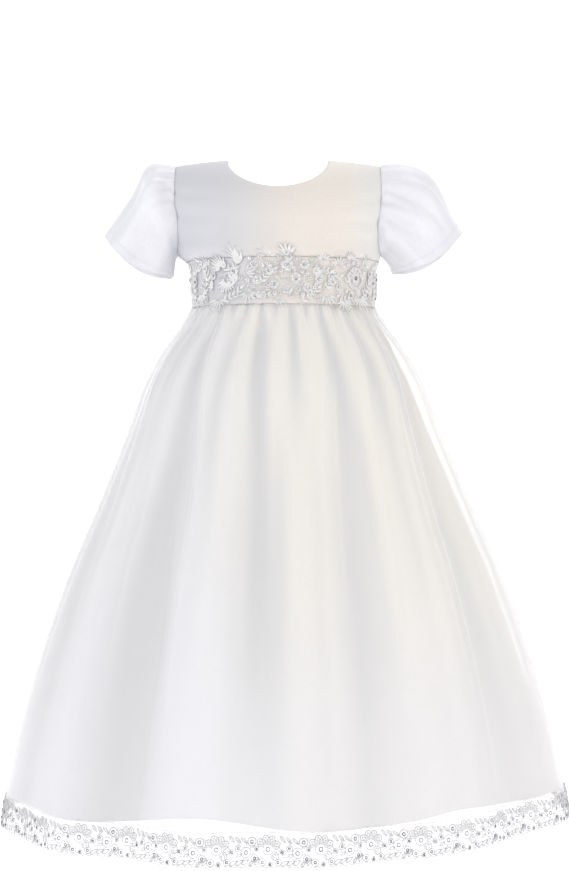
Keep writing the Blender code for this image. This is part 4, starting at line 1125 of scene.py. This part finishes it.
def sequin(lace, centre, radius, height, tilt):
    """A flat cupped disc with a hole in its middle, sewn on with a bead at a slight tilt."""
    sides = 9
    angle = 2 * math.pi * np.arange(sides) / sides
    rows = [(0.30, 0.10), (0.62, 0.30), (1.0, 0.0), (0.9, -0.25)]
    places, heights = [], []
    for share, rise in rows:
        places.append(radius * share * np.stack([np.cos(angle), np.sin(angle)], -1) + centre)
        heights.append(height + radius * (rise + 0.25 * share * np.cos(angle - tilt)))
    faces = grid_faces(len(rows), sides, closed=True)
    lace.discs.add(np.vstack(places), np.concatenate(heights), faces)
    bead(lace, centre, radius * 0.42, height + 0.1)


def ring_flower(lace, centre, radius, petals=0, turn=0.0):
    """A small flower: a corded ring with satin petals or bare net in it, and small beads at its eye."""
    for k in range(petals):
        heading = turn + 360 * k / petals
        base = np.array(centre) + heading_of(heading) * radius * 0.36
        leaf(lace, base, heading, radius * 0.62, radius * 0.70, rows=5, rim=0)
    cord(lace, arc(centre, radius, turn, turn + 364, 22), 0.40, 0.45)
    cord(lace, arc(centre, radius * 0.36, turn, turn + 364, 12), 0.46, 0.9, into=lace.beads)


def shell(lace, centre, radius, first, last, rays):
    """A large flower: a beaded ring, and long stitches that fan out of it to a scalloped rim."""
    ring_flower(lace, centre, radius * 0.42)
    for k in range(rays):
        heading = first + (last - first) * k / (rays - 1)
        base = np.array(centre) + heading_of(heading) * radius * 0.50
        leaf(lace, base, heading, radius * 0.44, radius * 0.20, 0.6, rows=5, rim=0.26, filled=k % 2 == 0)
    scallops = rays // 2
    for k in range(scallops):
        heading = first + (last - first) * (k + 0.5) / scallops
        rim = np.array(centre) + heading_of(heading) * radius * 0.86
        cord(lace, arc(rim, radius * 0.22, heading - 95, heading + 95, 9), 0.42, 0.5)


def scroll(lace, centre, radius, start, round_by, thick=0.32):
    angle = np.radians(start + np.linspace(0, round_by, 20))
    size = radius * np.linspace(1, 0.3, 20)
    cord(lace, np.array(centre) + np.stack([np.cos(angle), np.sin(angle)], -1) * size[:, None], thick)


# One repeat of the galloon, in millimetres along it from its left end and down from its top
LONG = 43.6
galloon = Lace()
shell(galloon, (9.0, 13.4), 10.6, -158, 62, 13)
RING_FLOWERS = [
    (33.6, 16.0, 4.2), (27.0, 12.6, 2.4), (38.6, 7.4, 3.5), (41.0, 20.6, 3.0), (17.6, 23.6, 2.7),
    (4.2, 23.8, 2.9), (21.6, 15.6, 2.2), (42.8, 13.2, 1.9), (11.0, 25.2, 1.8),
]
for along, down, size in RING_FLOWERS:
    ring_flower(galloon, (along, down), size)
for k in range(3):
    leaf(galloon, (19.6 + 5.0 * k, 2.6 + 0.8 * k), 60 - 5 * k, 6.6, 2.1, bend=-14, rim=0.36)
for k in range(3):
    leaf(galloon, (19.8 + 5.2 * k, 26.4 - 0.3 * k), -38 - 3 * k, 7.8 - 0.4 * k, 2.8, bend=16, rim=0.42,
         filled=False)
for k in range(2):
    leaf(galloon, (36.0 + 5.2 * k, 26.8 - 0.6 * k), -50 - 8 * k, 6.4, 2.5, bend=14, rim=0.42,
         filled=False)
leaf(galloon, (1.6, 20.4), 150, 5.4, 2.2, bend=20, rim=0.36, filled=False)
leaf(galloon, (25.4, 19.0), -8, 5.4, 2.3, bend=-24, rim=0.36, filled=False)
leaf(galloon, (37.2, 12.6), -30, 4.6, 1.8, rim=0.26)
scroll(galloon, (27.2, 8.0), 1.8, 200, 420)
scroll(galloon, (37.6, 24.6), 1.8, 90, -400)
STEMS = [
    ((19.0, 20.0), (22.6, 19.4), (25.2, 19.2)), ((24.0, 14.0), (26.0, 16.6), (29.4, 17.6)),
    ((35.0, 10.6), (33.4, 8.6), (32.6, 7.4)), ((37.6, 17.6), (40.0, 16.6), (42.0, 15.0)),
    ((6.6, 25.6), (9.0, 26.2), (12.4, 26.6)), ((41.8, 6.0), (42.8, 4.6), (43.6, 4.0)),
    ((28.8, 22.6), (31.0, 21.6), (33.6, 20.4)),
]
for stem in STEMS:
    cord(galloon, stem, 0.38)
for k in range(8):
    cord(galloon, arc((LONG * (k + 0.5) / 8, 26.3), LONG / 16, 0, 180, 10, 0.62), 0.34)
    cord(galloon, arc((LONG * (k + 0.5) / 8, 0.9), LONG / 16, 180, 360, 10, 0.42), 0.20)


def hem_turn(share):
    """The turn at a share of half the hem, by its length: -1 is one side seam and 1 the other."""
    steps = 200
    turn = SIDE * (np.arange(steps) + 0.5) / steps
    pace = np.hypot(SKIRT[-1].half_width * np.cos(turn), SKIRT[-1].depth * np.sin(turn))
    lengths = np.concatenate([[0], np.cumsum(pace)])
    past_seam = np.maximum(np.abs(share) - 1, 0)
    reached = np.interp(np.abs(share), lengths / lengths[-1], np.linspace(0, 1, steps + 1))
    return np.sign(share) * SIDE * (reached + past_seam)


def hem_surface(middle):
    """The overlay's face under the hem lace, by the metre along the lace and down it."""
    half = REPEATS // 2 * LONG * MILLI
    edge = side_turn(SKIRT[-1].depth) / SIDE

    def surface(along, down):
        return overlay(middle + hem_turn(edge * (2 * along / half - 1)), HEM_DROP - LACE_HEIGHT + down)
    return surface


def on_cloth(surface, points, lift):
    """Flat lace laid on a surface, lifted off it by its own heights."""
    out = facing(surface, points[:, 0], points[:, 1], LACE_STEP, LACE_STEP)
    return surface(points[:, 0], points[:, 1]) + out * (lift + points[:, 2])[:, None]


def repeated(drawing, times):
    """A drawing set end to end with itself."""
    points, faces = drawing.shapes()
    shift = np.repeat(np.arange(times) * LONG * MILLI, len(points))
    points = np.tile(points, (times, 1)) + np.stack([shift, 0 * shift, 0 * shift], -1)
    count = drawing.count
    return points, [tuple(k + count * n for k in face) for n in range(times) for face in faces]


def mottle(tree, shader, scale, detail, dark, light):
    """Let a finish's colour wander between two tints in a fine grain, and give back the grain."""
    place = node(tree, "ShaderNodeTexCoord", -900, 0)
    grain = node(tree, "ShaderNodeTexNoise", -700, 0)
    grain.inputs["Scale"].default_value = scale
    grain.inputs["Detail"].default_value = detail
    tree.links.new(place.outputs["Object"], grain.inputs["Vector"])
    cloud = fade(tree, grain, "Fac", 0.35, 0.65, x=-500, y=200)
    tint = blend_colours(tree, cloud, dark, light, -250, 200)
    tree.links.new(tint.outputs[2], shader.inputs["Base Color"])
    return grain


def thread(name, dark, light):
    """Lustrous white thread with an uneven twisted grain."""
    material, tree, shader = new_material(name)
    shader.inputs["Roughness"].default_value = 0.45
    shader.inputs["Sheen Weight"].default_value = 0.2
    grain = mottle(tree, shader, 900, 3, dark, light)
    raised = node(tree, "ShaderNodeBump", -300, -150)
    raised.inputs["Strength"].default_value = 0.4
    raised.inputs["Distance"].default_value = 0.0002
    tree.links.new(grain.outputs["Fac"], raised.inputs["Height"])
    tree.links.new(raised.outputs["Normal"], shader.inputs["Normal"])
    return material


def silver(name, metallic, roughness, scale, dark, light):
    """Silvered glass or foil, lighter on some beads and discs than on others."""
    material, tree, shader = new_material(name)
    shader.inputs["Metallic"].default_value = metallic
    shader.inputs["Roughness"].default_value = roughness
    mottle(tree, shader, scale, 2, dark, light)
    return material


lace_thread = thread("satin_thread", (0.93, 0.93, 0.94), (0.97, 0.97, 0.97))
# The cords are grey where the thread is white: painted shade along the outlines of the motifs.
shaded_lace_cord = thread("corded_thread", (0.52, 0.52, 0.54), (0.68, 0.68, 0.70))
bead_glass = silver("silver_beads", 0.45, 0.18, 300, (0.14, 0.14, 0.16), (0.46, 0.46, 0.49))
sequin_silver = silver("silver_sequins", 0.35, 0.16, 420, (0.80, 0.80, 0.82), (0.98, 0.98, 0.98))

net, net_tree, net_shader = new_material("lace_net")
net_shader.inputs["Base Color"].default_value = (0.93, 0.93, 0.94, 1)
net_shader.inputs["Roughness"].default_value = 0.6
net_cut = node(net_tree, "ShaderNodeUVMap", -900, 0, uv_map="cut")
net_cells = node(net_tree, "ShaderNodeTexVoronoi", -700, 0, feature="DISTANCE_TO_EDGE")
net_cells.inputs["Scale"].default_value = 1100
net_cells.inputs["Randomness"].default_value = 0.35
net_tree.links.new(net_cut.outputs["UV"], net_cells.inputs["Vector"])
net_holes = fade(net_tree, net_cells, "Distance", 0.06, 0.16, 0.34, 0.03, -450, 0)
net_tree.links.new(net_holes.outputs[0], net_shader.inputs["Alpha"])


def lay_hem_lace(name, middle):
    """One of the two lengths of hem lace, with its net cut in scallops along both edges."""
    surface = hem_surface(middle)
    half = REPEATS // 2
    long = half * LONG * MILLI
    for kind, drawing, material in galloon.kinds(lace_thread, shaded_lace_cord):
        if drawing.count:
            points, faces = repeated(drawing, half)
            points = on_cloth(surface, points, LACE_LIFT)
            sew(f"{name}_{kind}", points, faces, material)
    along, down = np.meshgrid(np.linspace(0, long, 510), np.linspace(0, 1, 12))
    top = SCALLOP * (1 - np.abs(np.sin(math.pi * along / (LONG * MILLI / 4))))
    bottom = LACE_HEIGHT - 2 * SCALLOP * (1 - np.abs(np.sin(math.pi * along / (LONG * MILLI / 6))))
    down = top + (bottom - top) * down
    flat = np.stack([along, down, 0 * down], -1).reshape(-1, 3)
    points, faces = on_cloth(surface, flat, LACE_LIFT), grid_faces(*along.shape)
    ground = sew(name + "_cloth", points, faces, net, flat[:, :2], None, [name])


lay_hem_lace("hem_lace_front", 0.0)
lay_hem_lace("hem_lace_back", math.pi)

# The waist lace: an embroidered galloon sewn over the band, in a front and two back lengths.
# Satin leaves in fans and sprays, ring flowers and scrolls stand on fine net, with cupped silver
# sequins in the flowers' eyes and scattered between. Its leaves reach over the first gathers.
WAIST_ROUND = 0.0870
WAIST_LACE_LIFT = 0.0013
LACE_TO_LAP = 0.0105

# A fan of leaves, by its place in millimetres from the middle and below the shoulders, the
# headings of its first and last leaf, their number less one, and their length and width
Fan = namedtuple("Fan", "along fall first last leaves length width")
FANS = [
    Fan(-119, 108, -160, -60, 4, 8, 2.3), Fan(-112, 124, 60, 170, 5, 9, 2.3),
    Fan(-97, 111, -165, -50, 6, 11, 2.5), Fan(-92, 126, 20, 120, 6, 13, 2.6),
    Fan(-78, 106, -150, -70, 4, 10, 2.4), Fan(-69, 122, -200, -140, 4, 9, 2.3),
    Fan(-60, 108, -175, -75, 7, 15, 2.7), Fan(-55, 116, 55, 165, 8, 13, 2.5),
    Fan(-41, 104, -118, -66, 4, 18, 2.8), Fan(-36, 112, -60, 20, 4, 10, 2.4),
    Fan(-66, 133, 30, 150, 6, 12, 2.5), Fan(-33, 128, 60, 150, 4, 9, 2.3),
    Fan(-13, 98, -150, -30, 4, 8, 2.4), Fan(6, 96, -130, -50, 4, 11, 2.8),
    Fan(26, 110, -50, 40, 4, 9, 2.4), Fan(-4, 134, 50, 130, 3, 7, 2.2),
    Fan(36, 102, -130, -50, 4, 9, 2.4), Fan(41, 130, 30, 140, 5, 11, 2.5),
    Fan(52, 106, -140, -40, 5, 9, 2.3), Fan(66, 101, -130, -50, 5, 8, 2.3),
    Fan(86, 104, -120, -10, 5, 9, 2.4), Fan(92, 118, -40, 60, 5, 10, 2.4),
    Fan(60, 134, 40, 140, 6, 12, 2.5), Fan(80, 130, 20, 130, 6, 13, 2.6),
    Fan(104, 128, 30, 130, 5, 11, 2.5), Fan(112, 108, -140, -40, 5, 9, 2.4),
    Fan(122, 122, -20, 80, 4, 8, 2.3),
]

# A ring flower, by its place and its radius
Flower = namedtuple("Flower", "along fall radius")
FLOWERS = [
    Flower(-124, 114, 3.0), Flower(-104, 117, 3.4), Flower(-85, 117, 3.8), Flower(-72, 113, 3.2),
    Flower(-48, 110, 4.4), Flower(-27, 104, 3.6), Flower(-24, 118, 4.0), Flower(-13, 109, 3.6),
    Flower(-9, 122, 3.8), Flower(-19, 132, 3.0), Flower(3, 105, 5.0), Flower(11, 116, 4.6),
    Flower(19, 104, 4.0), Flower(4, 127, 3.6), Flower(22, 125, 4.0), Flower(33, 117, 3.8),
    Flower(46, 114, 4.4), Flower(34, 134, 3.2), Flower(54, 124, 3.4), Flower(98, 110, 3.2),
    Flower(106, 118, 3.8), Flower(94, 130, 3.2), Flower(118, 114, 3.0), Flower(68, 131, 3.2),
    Flower(114, 132, 3.0), Flower(-101, 134, 3.0), Flower(-46, 131, 3.2), Flower(-83, 134, 2.8),
]

# A curl of cord, by where it starts and how far it goes round as it closes in
Curl = namedtuple("Curl", "along fall radius start round_by")
CURLS = [
    Curl(-35, 121, 4.2, 180, 460), Curl(-75, 128, 3.4, 20, -430), Curl(-111, 112, 3.0, 90, 420),
    Curl(-2, 116, 3.0, 0, 400), Curl(27, 133, 3.2, 120, -430), Curl(43, 105, 3.0, 270, 420),
    Curl(60, 113, 3.4, 180, -420), Curl(87, 124, 3.4, 90, 440), Curl(102, 103, 2.8, 0, -400),
    Curl(49, 137, 2.8, 200, 420), Curl(-22, 111, 2.4, 50, 400), Curl(14, 134, 2.8, 300, 420),
    Curl(-91, 103, 2.6, 200, 400), Curl(74, 138, 2.6, 30, 400), Curl(110, 124, 2.6, 160, -400),
]

# A wreath of short slanted stitches round a ring flower, at the right of the front
WREATH = Flower(74, 115, 9.0)

# A stem with pairs of leaflets, by where it starts and heads, its length and bend
Vine = namedtuple("Vine", "along fall heading length leaves size bend")
VINES = [
    Vine(-126, 128, -50, 22, 4, 6.5, 30), Vine(-108, 136, -72, 30, 5, 7.5, -30),
    Vine(-88, 137, -60, 26, 4, 7.0, -36), Vine(-78, 120, -100, 24, 5, 8.0, -34),
    Vine(-52, 126, -78, 34, 6, 8.0, 16), Vine(-44, 122, -112, 24, 5, 7.5, -28),
    Vine(-62, 136, -10, 24, 4, 6.5, -30), Vine(-34, 134, -20, 24, 4, 6.0, 24),
    Vine(-21, 122, -70, 18, 4, 6.0, 40), Vine(1, 112, -60, 20, 4, 6.0, -40),
    Vine(24, 112, -30, 20, 4, 6.0, 40), Vine(14, 138, -24, 22, 4, 6.0, -20),
    Vine(38, 128, -64, 22, 4, 6.5, 44), Vine(52, 137, -20, 24, 5, 6.5, 24),
    Vine(62, 122, -80, 18, 4, 6.0, 50), Vine(86, 134, -70, 26, 5, 7.0, 30),
    Vine(98, 128, -60, 22, 4, 6.5, -30), Vine(112, 136, -80, 24, 4, 6.5, -24),
    Vine(124, 130, -100, 20, 4, 6.0, 20), Vine(66, 108, -10, 18, 4, 5.5, 50),
]

# The places of lone sequins between the flowers
SEQUINS = [
    (-30, 98), (-20, 97), (-15, 103), (-33, 110), (-29, 114), (-17, 114), (-6, 103), (-3, 97),
    (8, 96), (13, 99), (10, 109), (-2, 110), (17, 111), (25, 99), (24, 117), (15, 122), (-14, 126),
    (-28, 124), (-8, 130), (12, 129), (29, 128), (40, 111), (43, 120), (50, 119), (39, 125),
    (47, 108), (58, 104), (63, 102), (69, 101), (75, 102), (81, 104), (86, 108), (52, 131),
    (62, 127), (76, 127), (97, 122), (99, 116), (110, 113), (88, 132), (104, 134), (-52, 118),
    (-57, 112), (-44, 105), (-63, 118), (-70, 108), (-80, 112), (-90, 122), (-107, 121),
    (-116, 116), (-40, 116), (-60, 127), (-97, 105),
]


def draw_waist(start, end):
    """The part of the waist lace that lies between two places along it."""
    lace = Lace()
    for fan in FANS:
        if start < fan.along < end:
            middle = fan.leaves / 2
            for k in range(fan.leaves + 1):
                heading = fan.first + (fan.last - fan.first) * k / fan.leaves
                uneven = 0.94 + 0.06 * math.sin(2.1 * k + fan.along)
                long = fan.length * (1 - 0.22 * abs(k - middle) / middle) * uneven
                base = np.array([fan.along, fan.fall]) + heading_of(heading) * 3.2
                bend = 16 * (k - middle) / middle
                leaf(lace, base, heading, long, 0.68 * fan.width, bend=bend, rim=0.18)
    for flower in FLOWERS:
        if start < flower.along < end:
            ring_flower(lace, (flower.along, flower.fall), flower.radius, 6, 13 * flower.along)
            sequin(lace, (flower.along, flower.fall), 0.42 * flower.radius, 1.1, flower.along)
    for vine in VINES:
        if start < vine.along < end:
            base = (vine.along, vine.fall)
            spray(lace, base, vine.heading, vine.length, vine.leaves, vine.size, vine.bend)
    for curl in CURLS:
        if start < curl.along < end:
            scroll(lace, (curl.along, curl.fall), curl.radius, curl.start, curl.round_by, 0.30)
    if start < WREATH.along < end:
        centre = (WREATH.along, WREATH.fall)
        stitches = 22
        for k in range(stitches):
            heading = 360 * k / stitches
            place = np.array(centre) + heading_of(heading) * WREATH.radius
            leaf(lace, place, heading + 70, 3.4, 1.5, rows=5, rim=0.16)
        cord(lace, arc(centre, WREATH.radius - 0.6, 0, 363, 34), 0.28)
        ring_flower(lace, centre, WREATH.radius * 0.48, 7, 10)
    strewn = [(-33 + 2.1 * k, 118 + 15 * math.sin(2.4 * k)) for k in range(34)]
    for along, fall in SEQUINS + strewn:
        if start < along < end:
            sequin(lace, (along, fall), 1.6, 0.9, along)
            cord(lace, arc((along, fall), 2.1, 0, 364, 12), 0.20, 0.4)
    return lace


def waist_ground(side):
    """What the waist lace lies on: the torso to the waist seam, and the tops of the gathers below it."""
    above = lapped(side)

    def surface(along, fall):
        turn = along / WAIST_ROUND
        below = overlay_crests(turn, np.maximum(fall - WAIST_FALL, 0))
        point = above(turn, run_at(np.minimum(fall, WAIST_FALL)))
        share = ease(WAIST_FALL - 0.006, WAIST_FALL, fall)[..., None]
        mixed = point + (overlay_crests(turn, 0 * fall) - point) * share
        mixed[..., 2] = point[..., 2]
        return np.where((fall >= WAIST_FALL)[..., None], below, mixed)
    return surface


waist_thread = thread("waist_satin_thread", (0.90, 0.895, 0.89), (0.96, 0.955, 0.95))
# The cords are a little greyer than the satin thread: painted shade along the outlines of the motifs.
shaded_waist_cord = thread("waist_corded_thread", (0.80, 0.795, 0.79), (0.93, 0.925, 0.92))


def lay_waist_lace(name, lace, surface, start, end, turned_over):
    """A length of waist lace, turned over about the side seam where it lies at the back."""
    half_round = math.pi * WAIST_ROUND

    def placed(points):
        if turned_over:
            points = points * (-1, 1, 1) + (half_round if turned_over > 0 else -half_round, 0, 0)
        return on_cloth(surface, points, WAIST_LACE_LIFT)

    for kind, drawing, material in lace.kinds(waist_thread, shaded_waist_cord):
        points, faces = drawing.shapes()
        if turned_over:
            faces = [face[::-1] for face in faces]
        sew(f"{name}_{kind}", placed(points), faces, material)
    along, share = np.meshgrid(np.linspace(start, end, 240), np.linspace(0, 1, 20))
    top = 0.0980 - 0.0030 * np.abs(np.cos(along / 0.0034)) - 0.003 * np.cos(along / 0.013)
    bottom = 0.1400 + 0.0030 * np.abs(np.cos(along / 0.0034 + 1)) + 0.003 * np.cos(along / 0.011)
    fall = top + (bottom - top) * share
    points = np.stack([along, fall, 0 * fall], -1).reshape(-1, 3)
    faces = grid_faces(*along.shape)
    if turned_over:
        faces = faces[:, ::-1]
    ground = sew(name + "_cloth", placed(points), faces, net, points[:, :2], None, [name])


seam_at = side_turn(WAIST_SIDE_DEPTH) * WAIST_ROUND
front_lace, right_lace, left_lace = draw_waist(-131, 131), draw_waist(18, 131), draw_waist(-131, -18)
lay_waist_lace("waist_lace_front", front_lace, waist_ground(-1), -seam_at, seam_at, 0)
lay_waist_lace("waist_lace_back_right", right_lace, waist_ground(1), LACE_TO_LAP, seam_at, 1)
lay_waist_lace("waist_lace_back_left", left_lace, waist_ground(-1), -seam_at, -LACE_TO_LAP, -1)

# The buttons: four small domes covered in the bodice satin, gathered over a shell and sewn down
# through a shank at the centre back, where the right half laps over the left.
BUTTON_RUNS = [0.056, 0.086, 0.116, 0.152]
BUTTON_RADIUS = 0.0045
BUTTON_HEIGHT = 0.0036
BUTTON_SHANK = 0.0003
button_cloth = satin("button_satin", (0.80, 0.79, 0.78), (0.82, 0.80, 0.78), (0.80, 0.79, 0.78))


def lay_button(number, run):
    """A dome with small tucks where its cover is drawn in underneath, and a ring of stitches below."""
    seat = lapped(1)(np.array([math.pi]), np.array([run]))[0]
    up = facing(lapped(1), np.array([math.pi]), np.array([run]), 0.02, 0.003)[0]
    side = np.array([1.0, 0, 0])
    across = np.cross(up, side)
    across /= np.linalg.norm(across)
    profile = [(0.30, 0.0), (0.62, 0.04), (0.86, 0.14), (0.98, 0.30), (1.0, 0.42), (0.96, 0.58),
               (0.84, 0.75), (0.64, 0.89), (0.38, 0.97), (0.16, 1.0)]
    sides = 40
    angle = 2 * math.pi * np.arange(sides) / sides
    points = []
    for share, height in profile:
        tuck = 1 + 0.05 * np.cos(10 * angle) * max(0.0, 0.45 - height)
        ring = np.cos(angle)[:, None] * side + np.sin(angle)[:, None] * across
        ring = ring * (BUTTON_RADIUS * share * tuck)[:, None]
        points.append(seat + ring + up * (BUTTON_SHANK + BUTTON_HEIGHT * height))
    points = np.vstack(points + [[seat + up * (BUTTON_SHANK + BUTTON_HEIGHT)]])
    faces = [tuple(face) for face in grid_faces(len(profile), sides, closed=True)[:, ::-1].tolist()]
    last = (len(profile) - 1) * sides
    faces += [(last + k, last + (k + 1) % sides, last + sides) for k in range(sides)]
    uv = np.stack([(points - seat) @ side, (points - seat) @ across], -1)
    sew(f"button_{number}_cover", points, faces, button_cloth, uv, None, [f"button_{number}"])
    around = np.linspace(0, 2 * math.pi, 40)
    ring = np.cos(around)[:, None] * side + np.sin(around)[:, None] * across
    line = seat + ring * BUTTON_RADIUS * 0.97 + up * 0.0008
    out = np.tile(up, (40, 1))
    stitch_row(f"button_{number}_stitches", line, out, 0.0011, 0.10, 0.85, 0.0)


for number, run in enumerate(BUTTON_RUNS, 1):
    lay_button(number, run)
